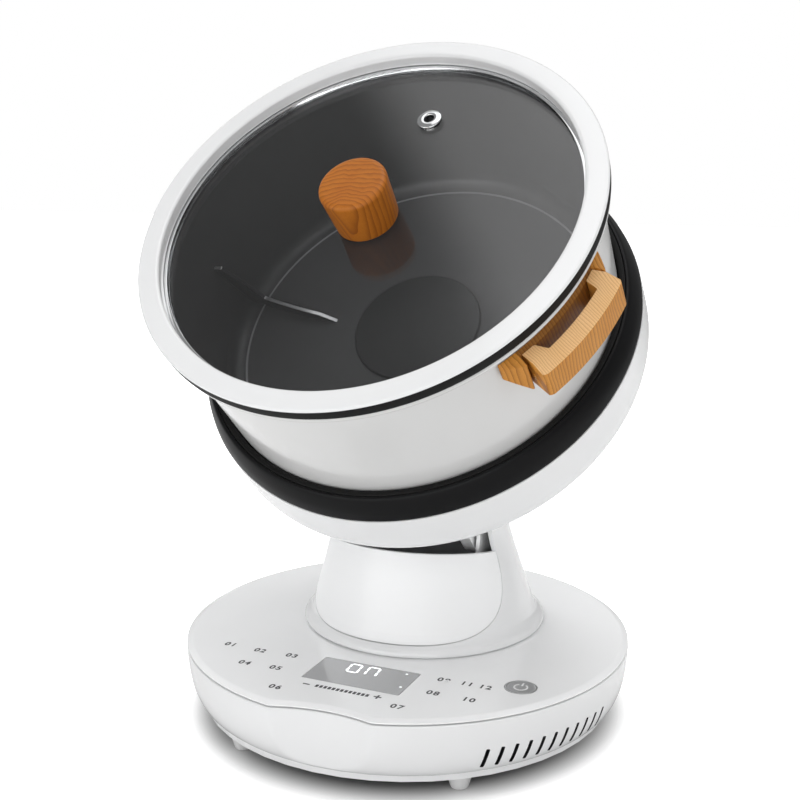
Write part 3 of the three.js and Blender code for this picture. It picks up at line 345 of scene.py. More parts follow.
def base_edge(reach, inset, height):
    """The base's outline at a height: a circle with the scallop taken softly out of it. Its
    points are closer together near the scallop."""
    outline = []
    for away in [*(i * 0.5 for i in range(-40, 40)), *(20 + 2.5 * i for i in range(128))]:
        angle = math.radians(away)
        along = SCALLOP_PLACE * math.cos(angle)
        within = along ** 2 - SCALLOP_PLACE ** 2 + (SCALLOP_RADIUS + inset) ** 2
        near = along - math.sqrt(within) if along > 0 and within > 0 else 2 * reach
        blend = max(SCALLOP_BLEND - abs(reach - near), 0) / SCALLOP_BLEND
        radius = min(reach, near) - blend * blend * SCALLOP_BLEND / 4
        facing = angle + math.radians(FRONT_TURN - 90)
        outline.append((radius * math.cos(facing), radius * math.sin(facing), height))
    return outline


def stacked_mesh(loops, ring=True):
    """A solid drawn through a stack of closed outlines with the same number of points; it
    closes on its first outline, or else with a face at each end."""
    built = bmesh.new()
    rows = [[built.verts.new(point) for point in loop] for loop in loops]
    for first, second in zip(rows, [*rows[1:], rows[0]] if ring else rows[1:]):
        for i in range(len(first)):
            j = (i + 1) % len(first)
            built.faces.new((first[i], first[j], second[j], second[i]))
    if not ring:
        built.faces.new(rows[0])
        built.faces.new(list(reversed(rows[-1])))
    return built


def arc(centre, radius, start, end, steps):
    angles = (math.radians(start + (end - start) * i / steps) for i in range(steps + 1))
    return [(centre[0] + radius * math.cos(a), centre[1] + radius * math.sin(a)) for a in angles]


def prism_mesh(outline, low, high):
    return stacked_mesh([[(x, y, height) for x, y in outline] for height in (low, high)], ring=False)


def slab_mesh(centre, size, low, high, corner=0.0):
    x, y = centre
    w, d = size[0] / 2, size[1] / 2
    outline = [(x - w, y - d, corner), (x + w, y - d, corner), (x + w, y + d, corner), (x - w, y + d, corner)]
    return prism_mesh(rounded(outline) if corner else [p[:2] for p in outline], low, high)


def settle(made):
    """Bakes the modifiers of an object into its mesh."""
    seen = made.evaluated_get(bpy.context.evaluated_depsgraph_get())
    old = made.data
    made.data = bpy.data.meshes.new_from_object(seen)
    made.modifiers.clear()
    bpy.data.meshes.remove(old)
    return made


def carve(made, cutters, operation="DIFFERENCE", lining=None):
    """Cuts meshes out of an object, or keeps what they share; the cut takes on the lining."""
    tools = []
    for i, (built, place) in enumerate(cutters):
        tool = finish_mesh(f"{made.name}_tool", built, place, lining or made.data.materials[0])
        change = made.modifiers.new(f"cut_{i}", "BOOLEAN")
        change.object, change.operation, change.solver = tool, operation, "EXACT"
        change.material_mode = "TRANSFER"
        tools.append(tool)
    settle(made)
    for tool in tools:
        bpy.data.meshes.remove(tool.data)
    smooth(made.data)
    return made


def drum_wall(inset, angles):
    """Rows up the drum's swelling side, inset from its face."""
    return [(DRUM_FOOT - inset + (BASE_RADIUS - DRUM_FOOT) * math.sin(math.radians(angle)), inset,
             DRUM_WAIST - (DRUM_HEIGHT - inset) * math.cos(math.radians(angle))) for angle in angles]


drum_side = drum_wall(0, [4.5 * i for i in range(1, 20)])
drum_inside = drum_wall(WALL, [7.5 * i for i in range(11, -1, -1)])
drum = finish_mesh("drum", stacked_mesh([base_edge(*row) for row in [
    (129, 0, 14.35), (138.6, 0, 14.35), *drum_side, (BASE_RADIUS, 0, 49.0), (149.6, 0.4, 49.55),
    (148.8, 1.2, 49.7), (BASE_RADIUS - WALL, WALL, 49.7), *drum_inside, (129, 0, 16.5)]]), BASE, WHITE)
# The opening for the mains inlet at the back, then the vents.
carve(drum, [(slab_mesh((0, 140), (28.6, 40), 19.3, 39.97), BASE)])
leaning = Matrix.Translation(VENT_SPOT) @ Matrix.Rotation(math.radians(-VENT_LEAN), 4, "X") @ AXES_YZ
# The vents' cut walls take the black plastic: painted shade inside the slots.
carve(drum, [
    (slab_mesh((0, 0), VENT_SIZE, -10, 10, 0.8), BASE @ turn(start + VENT_PITCH * i) @ leaning)
    for start in VENT_STARTS.values() for i in range(VENT_COUNT)], lining=BLACK)
stands_for(drum, "base", "white_shell", "base_housing")
# A thin black sheet stands behind each row of vents: painted shade where the drum's inside shows.
for side_name, start in VENT_STARTS.items():
    first, last = start - 3.8, start + 42.2
    screen_line = [*arc((0, 0), 141.2, first, last, 24), *arc((0, 0), 140.4, last, first, 24)]
    screen = finish_mesh(f"vent_mesh_{side_name}", prism_mesh(screen_line, 17.5, 33), BASE, BLACK)
    stands_for(screen, "base", "black_part")

# Cover. A flat white plate with a bevelled rim follows the drum's outline and is let onto it
# behind a fine seam; a window and a button are let into it above their small boards.

DISPLAY = (8.5, -90.45)
BUTTON = (104.6, -66.6)
COVER_LOW, COVER_TOP, COVER_HOLE = 50.45, 53, 16
UNDER_COVER, OVER_COVER = 45, 60


def post_mesh(radius, low, high, count=64):
    return lathe_mesh([(0, low), (radius, low), (radius, high), (0, high)], count)


# Inside this radius the cover's outline leaves the scallop out.
PLAIN_RADIUS = 100
# The cover's white is lighter than the drum's: painted light on its top face, which the head shades.
COVER_WHITE = plastic("cover_white", (0.93, 0.935, 0.94), 0.09, 0.16, Coat_Weight=0.3, Coat_Roughness=0.04)
cover_rim = rounded([
    (PLAIN_RADIUS, COVER_LOW), (149.6, COVER_LOW, 0.7), (BASE_RADIUS, 51.5, 0.6), (145.8, COVER_TOP, 0.9),
    (PLAIN_RADIUS, COVER_TOP)])
cover = finish_mesh("cover", stacked_mesh([
    base_edge(radius, BASE_RADIUS - radius if radius > PLAIN_RADIUS else 0, height)
    for radius, height in [(COVER_HOLE, COVER_LOW), *cover_rim, (COVER_HOLE, COVER_TOP)]]), BASE, COVER_WHITE)
# The window's seat, the opening under it and the button's hole.
carve(cover, [
    (slab_mesh(DISPLAY, (66.6, 34.6), 51.3, OVER_COVER, 1.5), BASE),
    (slab_mesh(DISPLAY, (58, 26), UNDER_COVER, OVER_COVER), BASE),
    (post_mesh(10.2, UNDER_COVER, OVER_COVER), BASE @ Matrix.Translation((*BUTTON, 0)))])
stands_for(cover, "base", "white_shell", "base_cover")
dress(BOARD, "control_board", "button_board")

# Display. A smoked window lies flush in the cover, clipped from below, with lit bar digits
# and two lit dots on it.

WINDOW, tree, shader = material("smoked_window", {"Coat Weight": 1.0, "Coat Roughness": 0.03})
along_window = add(tree, "SeparateXYZ", {0: place_of(tree)}).outputs[0]
fade = ramp(tree, along_window, -0.02, 0.035, kind="LINEAR")
skin = use(tree, moulded, {"Grain": 200.0, "Depth": 0.02, "Tone": 0.1})
smoke = mixed(tree, fade, (0.46, 0.463, 0.47), (0.33, 0.335, 0.34))
surface(tree, shader, mixed(tree, skin["Tone"], BLACK_TONE, smoke), spread(tree, skin["Patch"], 0.1, 0.2))


def soften(made, width, angle=35):
    """Rounds the edges sharper than an angle, by a width in millimetres."""
    change = made.modifiers.new("soft_edges", "BEVEL")
    change.width = width * MM
    change.segments = 3
    change.limit_method = "ANGLE"
    change.angle_limit = math.radians(angle)
    change.harden_normals = True
    return settle(made)


window = finish_mesh("window", slab_mesh(DISPLAY, (66, 34), 51.6, COVER_TOP, 1.2), BASE, WINDOW)
soften(window, 0.3)
stands_for(window, "base", "display", "display_window")

LIT, tree, shader = material("lit_digits", {"Emission Strength": 0.9, "Roughness": 0.4})
skin = use(tree, moulded, {"Grain": 400.0, "Depth": 0.02, "Tone": 0.12})
glow = mixed(tree, skin["Tone"], (0.6, 0.62, 0.63), (0.95, 0.97, 0.98))
tree.links.new(glow, shader.inputs["Emission Color"])
tree.links.new(glow, shader.inputs["Base Color"])


def gather(name, pieces, finish, body, slot_name):
    """Many small flat shapes as one piece."""
    whole = bmesh.new()
    for built, place in pieces:
        built.transform(place)
        part = bpy.data.meshes.new("part")
        built.to_mesh(part)
        built.free()
        whole.from_mesh(part)
        bpy.data.meshes.remove(part)
    return stands_for(finish_mesh(name, whole, Matrix(), finish), body, slot_name)


def segment(length):
    """One bar of a digit, pointed at both ends."""
    half, tip = length / 2, 0.7
    return [(-half, 0), (-half + tip, -tip), (half - tip, -tip),
            (half, 0), (half - tip, tip), (-half + tip, tip)]


def on_window(x, y):
    return BASE @ Matrix.Translation((DISPLAY[0] + x, DISPLAY[1] + y, COVER_TOP))


PRINT = 0.04
FLAT_BAR, UPRIGHT_BAR = segment(6.7), segment(5.3)
slant = Matrix(((1, -0.08, 0, 0), (0, 1, 0, 0), (0, 0, 1, 0), (0, 0, 0, 1)))
spots = {"a": (0, 5.8, 0), "d": (0, -5.8, 0), "b": (3.6, 2.9, 90), "c": (3.6, -2.9, 90),
         "e": (-3.6, -2.9, 90), "f": (-3.6, 2.9, 90)}
digits = []
for x, parts in ((-8.6, "abcdef"), (4.0, "abcef")):
    for key in parts:
        across, up, angle = spots[key]
        bar = prism_mesh(UPRIGHT_BAR if angle else FLAT_BAR, 0, PRINT)
        digits.append((bar, on_window(x, 8) @ slant @ Matrix.Translation((across, up, 0)) @ turn(angle)))
digits += [(post_mesh(0.8, 0, PRINT, 16), on_window(x, y)) for x, y in ((29.3, -5.7), (25.2, 13.2))]
gather("display_digits", digits, LIT, "base", "display")

# Printed marks. Plain numbers beside the touch keys and a bar of ticks between a minus and a
# plus, printed on the cover in dark ink.

INK = plastic("printed_ink", (0.035, 0.035, 0.04), 0.35, 0.5, grain=3000.0, tone=0.4)


def letters(words, size, centre):
    """Printed characters as a mesh centred on a spot of the cover."""
    curve = bpy.data.curves.new("words", "FONT")
    curve.body, curve.size, curve.extrude = words, size, PRINT / 2
    curve.offset, curve.space_character = 0.03 * size, 1.25
    curve.align_x, curve.align_y = "CENTER", "CENTER"
    holder = bpy.data.objects.new("words", curve)
    bpy.context.scene.collection.objects.link(holder)
    seen = holder.evaluated_get(bpy.context.evaluated_depsgraph_get())
    mesh = bpy.data.meshes.new_from_object(seen)
    built = bmesh.new()
    built.from_mesh(mesh)
    bpy.data.objects.remove(holder)
    bpy.data.meshes.remove(mesh)
    bpy.data.curves.remove(curve)
    return built, BASE @ Matrix.Translation((*centre, COVER_TOP + PRINT / 2))


def printed(centre, size, high=PRINT):
    return slab_mesh(centre, size, COVER_TOP, COVER_TOP + high), BASE


labels = {"01": (-92, -81), "02": (-69, -82), "03": (-46, -81), "04": (-68, -103), "05": (-46, -102),
          "06": (-32, -127), "07": (47, -122), "08": (59, -96), "09": (58, -76), "10": (82, -96),
          "11 12": (79, -75.5)}
prints = [letters(words, 7.2, spot) for words, spot in labels.items()]
minus, plus = (-16.7, -115.5), (31, -114.6)
prints.append(printed(minus, (4.6, 1.3)))
prints += [printed((-9.5 + 2.83 * i, -115.2), (1.9, 3.4)) for i in range(13)]
prints += [printed(plus, (5.0, 1.3)), printed(plus, (1.3, 5.0), 0.05)]
gather("panel_marks", prints, INK, "base", "display")

# Power button. A turned metal cap with a slightly dished top, carried by a coil spring over
# its board; the usual ring and stroke are etched into it.


def from_point(tree, vector, point):
    return add(tree, "VectorMath", {0: vector, 1: point}, operation="SUBTRACT").outputs[0]


BUTTON_METAL, tree, shader = material("button_metal", {"Metallic": 0.9})
centred = from_point(tree, place_of(tree), (BUTTON[0] * MM, BUTTON[1] * MM + shift, 0))
marks = use(tree, brushed, {"Vector": centred, "Lines": 6000.0, "Depth": 0.15})
silver = mixed(tree, marks["Line"], (0.48, 0.485, 0.49), (0.68, 0.685, 0.69))
surface(tree, shader, silver, spread(tree, marks["Line"], 0.3, 0.45), marks["Normal"])
ETCHED = plastic("etched_mark", (0.92, 0.92, 0.92), 0.3, 0.45, grain=3000.0, tone=0.15)
button_place = BASE @ Matrix.Translation((*BUTTON, 0))
DISH, MARK_TOP, MARK_OUTER, MARK_INNER = 53.05, 53.1, 4.6, 3.5
button = lathe("button_cap", rounded([
    (0, 49.0), (12.3, 49.0), (12.3, 50.15), (9.9, 50.15), (9.9, 53.2, 0.6), (9.1, 53.3, 0.3),
    (8.6, DISH, 0.4), (0, DISH)], closed=False), button_place, BUTTON_METAL, 96)
stands_for(button, "button", "button_metal", "power_button")
ring_line = [*arc((0, 0), MARK_OUTER, 120, 420, 36), *arc((0, 0), MARK_INNER, 420, 120, 36)]
gather("power_mark", [
    (prism_mesh(ring_line, DISH, MARK_TOP), button_place),
    (slab_mesh((0, 4.1), (1.1, 4.4), DISH, MARK_TOP), button_place)], ETCHED, "button", "button_metal")
dress(STEEL, "button_spring")

# Pedestal. A round white neck flares into a flange on the cover; a front panel is let into it
# behind a fine seam, and two cheeks rise beside the hinge. The flange is undercut at the cover,
# and the painted hinge fork stands inside.

NECK = [(82.6, 53.3), (82.6, 53.9), (83.8, 54.2), (83.8, 56.2), (82.4, 58.2), (78.8, 60.8),
        (76.9, 65.5), (75.0, 72), (62.2, 116), (57.8, 148)]
# The neck leans a little as it rises, as in the photo.
NECK_BASE = BASE @ Matrix(((1, 0, -0.03, 3.6), (0, 1, -0.03, 26.6), (0, 0, 1, 0), (0, 0, 0, 1)))
PANEL_SIDE, PANEL_TOP, PANEL_BEND = -57, 111.5, 1 / 1.2
BESIDE = 120


def smooth_line(points):
    """A flowing line through the points."""
    steps = 6
    line = []
    padded = [points[0], *points, points[-1]]
    for p0, p1, p2, p3 in zip(padded, padded[1:], padded[2:], padded[3:]):
        a, b, c, d = (Vector(p) for p in (p0, p1, p2, p3))
        for i in range(steps):
            t = i / steps
            line.append(tuple(0.5 * (
                2 * b + (c - a) * t + (2 * a - 5 * b + 4 * c - d) * t * t
                + (3 * b - a - 3 * c + d) * t ** 3)))
    return [*line, points[-1]]


def neck_mesh():
    """The hollow neck, a little thicker at its foot."""
    outside = smooth_line(NECK)
    hollow = [(radius - 3, height) for radius, height in reversed(outside)]
    hollow[-1] = (hollow[-1][0] - 2, hollow[-1][1])
    return lathe_mesh([*outside, *hollow])


def panel_block(margin, foot, head):
    """The space of the front panel seen from the side, with its bent lower rear edge."""
    reach, rise = 64 + margin, 51.5 + margin
    edge = [(PANEL_SIDE + reach * math.sin(a) ** PANEL_BEND, PANEL_TOP - rise * math.cos(a) ** PANEL_BEND)
            for a in (math.pi / 2 * i / 40 for i in range(41))]
    return prism_mesh([(-BESIDE, foot), *edge, *head], -BESIDE, BESIDE), BASE @ AXES_YZ


neck = finish_mesh("neck", neck_mesh(), NECK_BASE, WHITE)
carve(neck, [panel_block(0, 60, [(7, 160), (-BESIDE, 160)])])
soften(neck, 0.5)
stands_for(neck, "base", "white_shell", "pedestal_shell")
# The front panel's white is lighter than the neck's: a painted highlight for the bright reflection across it.
PANEL_WHITE = plastic("panel_white", (0.93, 0.935, 0.94), 0.3, 0.38)
front = finish_mesh("panel", neck_mesh(), NECK_BASE, PANEL_WHITE)
carve(front, [panel_block(-0.6, 60.4, [(-BESIDE, 128.4)])], "INTERSECT")
soften(front, 0.6)
stands_for(front, "base", "white_shell", "front_panel")
dress(WHITE, "tilt_fork")
dress(STEEL, "tilt_shaft", "shaft_clip_right", "shaft_clip_left")
dress(BLACK, "neck_cap", "friction_washer_right", "friction_washer_left")

# Holder. A white bowl hangs by its white hinge arms on the shaft, screwed to their ends; a dark
# satin collar is pressed on its rim, with a rubber seal round the pot.

spin = next(joint for joint in frame["joints"] if joint["name"] == "drive_spin")
SPIN_HEIGHT = 0.026
head_axis = Vector(spin["axis"])
head_tilt = math.atan2(-head_axis.y, head_axis.z)
head_floor = Vector(spin["pos_m"]) - head_axis * SPIN_HEIGHT
HEAD = Matrix.Translation(head_floor) @ Matrix.Rotation(head_tilt, 4, "X") @ Matrix.Scale(MM, 4)

COLLAR = plastic("collar_plastic", (0.005, 0.005, 0.0055), 0.32, 0.42, grain=1800.0, depth=0.2,
                 Specular_IOR_Level=0.14)
RUBBER = plastic("seal_rubber", (0.004, 0.004, 0.004), 0.5, 0.65, grain=700.0, depth=0.1,
                 Specular_IOR_Level=0.2)
BOWL_RADIUS, BOWL_TOP, BOWL_BEND = 150, 51.4, 26
bend_centre = (BOWL_RADIUS - BOWL_BEND, BOWL_BEND)
bowl_side = [*arc(bend_centre, BOWL_BEND, -90, 0, 14), (BOWL_RADIUS, BOWL_TOP)]
bowl_inside = [(BOWL_RADIUS - WALL, BOWL_TOP), *arc(bend_centre, BOWL_BEND - WALL, 0, -90, 14)]
bowl = lathe("bowl", [(0, 0), *bowl_side, *bowl_inside, (0, WALL)], HEAD, WHITE)
# Holes for the hinge's boss and its two screws.
carve(bowl, [(post_mesh(8, -5, 8), HEAD @ Matrix.Translation((0, -86.3, 0)))] + [
    (post_mesh(2.3, -5, 8, 24), HEAD @ Matrix.Translation((0, y, 0))) for y in (-114.3, -48.3)])
stands_for(bowl, "head", "white_shell", "holder_bowl")
collar = lathe("collar", rounded([
    (141.5, 51.7), (149.7, 51.7, 0.5), (149.7, 53.4, 2.5), (148.1, 59.6, 6), (144.7, 66.0, 3.5),
    (143.1, 67.6, 1.0), (141.5, 67.6, 0.4)], steps=6), HEAD, COLLAR)
stands_for(collar, "head", "collar", "holder_collar")
seal = lathe("seal", rounded([
    (137, 65.1), (141.2, 65.1), (141.2, 67.9, 0.8), (139, 67.9, 1.5), (137, 67.3, 1.2)]), HEAD, RUBBER)
stands_for(seal, "head", "seal", "pot_seal")
dress(WHITE, "hinge_arms")
dress(STEEL, "hinge_screw_1", "hinge_screw_2")

# Heater and drive. Under the pot lie a black well with the wound copper coil on its carrier,
# and a steel deck with the painted motor, its gears and the spindle that turns the pot.

# The head's own axes, for patterns that follow the tilted pieces.
head_space, _, out = group("head_space", [], [("Vector", "Vector")])
moved = from_point(head_space, place_of(head_space), head_floor)
turned_back = add(
    head_space, "VectorRotate", {"Vector": moved, "Angle": -head_tilt}, rotation_type="X_AXIS")
head_space.links.new(turned_back.outputs[0], out[0])

COPPER = metal("wound_copper", (0.62, 0.27, 0.12), 0.25, 0.4, lines=900.0, depth=0.6, space=head_space)
MOTOR = plastic("motor_paint", (0.25, 0.26, 0.27), 0.35, 0.5, grain=500.0, depth=0.2, tone=0.1)
dress(BLACK, "heater_well", "coil_carrier")
dress(COPPER, "induction_coil")
dress(MOTOR, "drive_motor")
dress(WHITE, "drive_gear")
dress(STEEL, "drive_deck", "spindle_bearing", "spindle", "motor_pinion", "drive_coupling", "drive_socket")

# Pot. One spun shell, white enamel outside, with a dark coating inside up to the rolled rim
# and in a narrow band round the lower outside corner; a light ring round its floor is a painted highlight.

POT_UNDER, POT_FLOOR, POT_BEND, BEND_HEIGHT = 45.5, 48, 14, 59.5
RIM_FOOT, RIM_CENTRE, RIM_ROUND, RIM_TOP = 152.6, (143.9, 154.4), 1.9, 156.3
FLOOR_LINE, LINE_CEILING, COATED_FROM = 0.1227, 0.056, 47


def pot_radius(height):
    """The outer radius of the pot, whose wall opens a little upwards."""
    return 136.2 + 2.8 * (height - 69) / 87.4


ENAMEL = plastic("white_enamel", (0.7, 0.7, 0.695), 0.14, 0.2, grain=500.0, Coat_Weight=0.2)
COATING, tree, shader = material("non_stick", {"Coat Weight": 0.15, "Coat Roughness": 0.2})
skin = use(tree, moulded, {"Grain": 1300.0, "Depth": 0.005, "Tone": 0.05})
split, radius = from_axis(tree, use(tree, head_space)[0])
on_floor = ramp(tree, radius, FLOOR_LINE - 0.0005, FLOOR_LINE + 0.0005, 1.0, 0.0, "LINEAR")
# A pale ring round the floor's edge: a painted highlight.
from_line = maths(tree, "ABSOLUTE", maths(tree, "SUBTRACT", radius, FLOOR_LINE))
painted_glint = ramp(tree, from_line, 0.0002, 0.0011, 1.0, 0.0, "LINEAR")
base_line = maths(tree, "MULTIPLY", painted_glint, maths(tree, "LESS_THAN", split[2], LINE_CEILING))
# The floor's coating is painted lighter than the walls': painted light on the floor.
shade = mixed(tree, on_floor, (0.042, 0.042, 0.043), (0.078, 0.078, 0.08))
lined = mixed(tree, skin["Tone"], BLACK_TONE, mixed(tree, base_line, shade, (0.42, 0.42, 0.43)))
surface(tree, shader, lined, spread(tree, skin["Patch"], 0.34, 0.46), skin["Normal"])
corner = (pot_radius(BEND_HEIGHT) - POT_BEND, BEND_HEIGHT)
pot_outside = [*arc(corner, POT_BEND, -90, 0, 10), (pot_radius(RIM_FOOT), RIM_FOOT),
               *arc(RIM_CENTRE, RIM_ROUND, -90, 90, 8)]
pot_inside = [(pot_radius(RIM_TOP) - WALL, RIM_TOP), *arc(corner, POT_BEND - WALL, 0, -90, 10)]
pot = lathe("pot", [(0, POT_UNDER), *pot_outside, *pot_inside, (0, POT_FLOOR)], HEAD, [ENAMEL, COATING])
to_head = HEAD.inverted()
for face in pot.data.polygons:
    middle = to_head @ face.center
    inner = COATED_FROM < middle.z < RIM_TOP and middle.xy.length < pot_radius(middle.z) - 1.2
    face.material_index = 1 if inner else 0
stands_for(pot, "pot", "non_stick", "pot_shell")

# Hub cap and stirring fin. A dark disc snaps over the spindle; a coated bar, its upward faces
# bright metal as a painted highlight, runs across the floor and up the wall, and leans as it goes.

HUB = plastic("hub_coating", (0.028, 0.028, 0.029), 0.32, 0.44, grain=1300.0, depth=0.04, tone=0.1)
FIN_EDGE = metal("fin_edge", (0.6, 0.6, 0.61), 0.25, 0.4, lines=3000.0, space=head_space)
cap = lathe("hub_cap", rounded([
    (0, 48.3), (44, 48.3), (43.3, 50.2, 0.7), (0, 50.2)], closed=False), HEAD, HUB, 128)
stands_for(cap, "pot", "non_stick", "hub_cover")


def fin_mesh():
    """An L in a plane, cut into short steps and wrapped round the pot so that both arms lean."""
    tip, floor, top, inset, step = 60, 48.3, 102.0, 3.1, 12
    turned, upward_lean, inward_lean = 173.7, 6.3, 5
    wall = arc(corner, POT_BEND - inset, -90, 0, 8)
    outside = [(tip, floor), *wall, (pot_radius(top) - inset, top)]
    inside = [(pot_radius(top) - inset - 6, top), (pot_radius(BEND_HEIGHT) - inset - 12, floor + 24),
              (corner[0] - 6, floor + 12), (tip + 12, floor + 6)]
    points = [Vector(point) for point in (*outside, *inside)]
    line = []
    for here, following in zip(points, [*points[1:], points[0]]):
        parts = max(1, round((following - here).length / step))
        line += [here.lerp(following, k / parts) for k in range(parts)]
    built = prism_mesh(line, -1.5, 1.5)
    for vert in built.verts:
        reach, height, across = vert.co
        up = (height - floor) / (top - floor)
        inward = max(0.0, (corner[0] - reach) / (corner[0] - tip))
        angle = math.radians(turned + upward_lean * up + inward_lean * inward)
        vert.co = (reach * math.cos(angle) - across * math.sin(angle),
                   reach * math.sin(angle) + across * math.cos(angle), height)
    return built


fin = finish_mesh("fin", fin_mesh(), HEAD, [HUB, FIN_EDGE])
soften(fin, 0.5, angle=50)
# Faces that look up along the pot's axis take the bright metal: a painted highlight.
for face in fin.data.polygons:
    face.material_index = 1 if face.normal.dot(head_axis) > 0.45 else 0
stands_for(fin, "pot", "non_stick", "stirring_fin")

# Handles. Oiled wood: a bracket hugs the pot, and a curved grip is pinned to its two end
# blocks and leaves a gap for the fingers. The grip's upper face is painted paler as painted
# light, and the hollow behind it is painted dark as painted shade.

# Wood: growth rings about the Z axis of the vector that goes in, darker late wood, pores
# drawn out along the fibres.
wood_grain, source, out = group(
    "wood_grain",
    [("Vector", "Vector", None), ("Rings", "Float", 330.0), ("Sway", "Float", 0.016)],
    [("Tone", "Float"), ("Late", "Float"), ("Pores", "Float")])
split, radius = from_axis(wood_grain, source["Vector"])
along = maths(wood_grain, "MULTIPLY", split[2], 0.12)
fibres = add(wood_grain, "CombineXYZ", {0: split[0], 1: split[1], 2: along}).outputs[0]
sway = add(wood_grain, "TexNoise", {"Vector": fibres, "Scale": 38.0, "Detail": 3.0}).outputs[0]
swayed = maths(wood_grain, "MULTIPLY_ADD", sway, source["Sway"], radius)
ring_count = maths(wood_grain, "MULTIPLY", swayed, source["Rings"])
late = maths(wood_grain, "POWER", maths(wood_grain, "FRACT", ring_count), 2.6)
pores = add(wood_grain, "TexNoise", {"Vector": fibres, "Scale": 2600.0, "Detail": 2.0}).outputs[0]
tone = add(wood_grain, "TexNoise", {"Vector": fibres, "Scale": 60.0, "Detail": 2.0}).outputs[0]
wood_grain.links.new(tone, out["Tone"])
wood_grain.links.new(late, out["Late"])
wood_grain.links.new(pores, out["Pores"])


def wood(name, centre, facing, pale, warm, dark, rings, sway=0.016):
    """Oiled wood. The fibres run along the Z axis of a frame set by a centre and a facing."""
    made, tree, shader = material(name, {
        "Coat Weight": 0.05, "Coat Roughness": 0.25, "Specular IOR Level": 0.25})
    vector = from_point(tree, use(tree, head_space)[0], centre)
    faced = add(tree, "VectorRotate", {"Vector": vector, "Rotation": facing}, rotation_type="EULER_XYZ")
    grain = use(tree, wood_grain, {"Vector": faced.outputs[0], "Rings": rings, "Sway": sway})
    early = mixed(tree, grain["Tone"], warm, pale)
    ring_share, pore_share = 0.75, 0.35
    ringed = mixed(tree, maths(tree, "MULTIPLY", grain["Late"], ring_share), early, dark)
    dotted = maths(tree, "MULTIPLY", spread(tree, grain["Pores"], -0.6, 1.1), pore_share)
    relief = add(tree, "Bump", {"Strength": 0.25, "Distance": 0.0001, "Height": grain["Pores"]})
    shade = mixed(tree, dotted, ringed, dark)
    surface(tree, shader, shade, spread(tree, grain["Late"], 0.5, 0.38), relief.outputs[0])
    return made


def polar(radius, angle):
    return arc((0, 0), radius, angle, angle, 1)[0]


def round_the_pot(stations, outline):
    """A swept solid whose section at each angle is an outline of (radius, height) points."""
    return stacked_mesh([[(*polar(radius, angle), height) for radius, height in outline(angle)]
                         for angle in stations], ring=False)


def between(value, low, high):
    return min(1.0, max(0.0, (value - low) / (high - low)))


GRIP_END, BLOCK_START, BLOCK_END, BRACKET_TIP = 13.4, 13.8, 14.6, 19.2
HOLLOW_HALF, PIN_SPOT = 34, (149.5, 129)
SIDES = {"right": -22.5, "left": 157.5}
WOOD_FACING = (math.radians(16), math.radians(20), 0)
# Each wood's pale, warm and dark tones and its count of rings to a metre.
WOODS = {
    "oiled": ((0.7, 0.33, 0.065), (0.57, 0.235, 0.032), (0.22, 0.062, 0.006), 430.0),
    # Painted light: a paler copy of the wood for the grip's upward faces.
    "top_lit": ((0.9, 0.59, 0.3), (0.8, 0.49, 0.21), (0.48, 0.22, 0.07), 620.0),
    # Painted shade: a dark copy for the bracket's middle and the grip's faces towards the pot.
    "hollow_shade": ((0.4, 0.17, 0.03), (0.3, 0.12, 0.018), (0.12, 0.035, 0.005), 430.0)}


def grip_section(angle):
    """The grip's outline: a bar with a sloped upper face, with a foot at each end."""
    low, shoulder, top = 121, 139.8, 144.4
    inner = 151.4 - 8.4 * between(abs(angle), 8.7, 9.9)
    outer = 160.7 - 1.6 * between(abs(angle), 12.2, GRIP_END) ** 2
    return [(inner, low), (outer, low), (outer, shoulder), (max(151.6, inner + 0.8), top), (inner, top)]


def bracket_section(angle):
    """The bracket's outline: a thin strip, a block at each end, and a tip that thins out."""
    tip = between(abs(angle), BLOCK_END, BRACKET_TIP)
    inner, outer = 139.5, 142.5 + 7 * between(abs(angle), BLOCK_START, 14.2) - 8 * tip
    low = 120.5 + 13 * tip
    return [(inner, low), (outer, low + 0.4), (outer, 142.6), (inner, 145.2)]


grip_stations = [i * 0.4 - GRIP_END for i in range(68)]
bracket_end = [BLOCK_START, 14.2, BLOCK_END, 15, 16, 17, 18, BRACKET_TIP]
bracket_stations = [*(-angle for angle in reversed(bracket_end)), *range(-13, 14), *bracket_end]
for side_name, angle in SIDES.items():
    place = HEAD @ turn(angle)
    grain_place = Vector((*polar(155, angle), 132)) * MM + Vector((*polar(0.07, angle + 80), 0.01))
    oiled, top_lit, hollow_shade = (
        wood(f"{side_name}_{kind}_wood", grain_place, WOOD_FACING, *tones, sway=0.009)
        for kind, tones in WOODS.items())
    bracket = finish_mesh(
        f"bracket_{side_name}", round_the_pot(bracket_stations, bracket_section), place, oiled)
    soften(bracket, 0.8)
    # The bracket's middle takes the dark copy: painted shade in the hollow.
    bracket.data.materials.append(hollow_shade)
    for face in bracket.data.polygons:
        middle = place.inverted() @ face.center
        face.material_index = 1 if abs(middle.y) < HOLLOW_HALF else 0
    stands_for(bracket, "pot", "wood", f"handle_bracket_{side_name}")
    grip = finish_mesh(f"grip_{side_name}", round_the_pot(grip_stations, grip_section), place, oiled)
    carve(grip, [
        (post_mesh(1.7, -5, 5, 24), place @ turn(end) @ Matrix.Translation((PIN_SPOT[0], 0, PIN_SPOT[1]))
         @ Matrix.Rotation(math.radians(90), 4, "X")) for end in (-GRIP_END, GRIP_END)])
    soften(grip, 0.9)
    grip.data.materials.append(top_lit)
    grip.data.materials.append(hollow_shade)
    # Upward faces take the paler copy, painted light; faces towards the pot the dark copy, painted shade.
    to_pot = place.to_3x3() @ Vector((-1, 0, 0))
    for face in grip.data.polygons:
        upper = face.normal.dot(head_axis) > 0.6
        face.material_index = 1 if upper else 2 if face.normal.dot(to_pot) > 0.5 else 0
    stands_for(grip, "pot", "wood", f"handle_grip_{side_name}")

# Lid. A wide white ring over a black gasket holds a bright turned band, in which the grey
# glass lies; gasket, ring and band are pressed together round the glass.

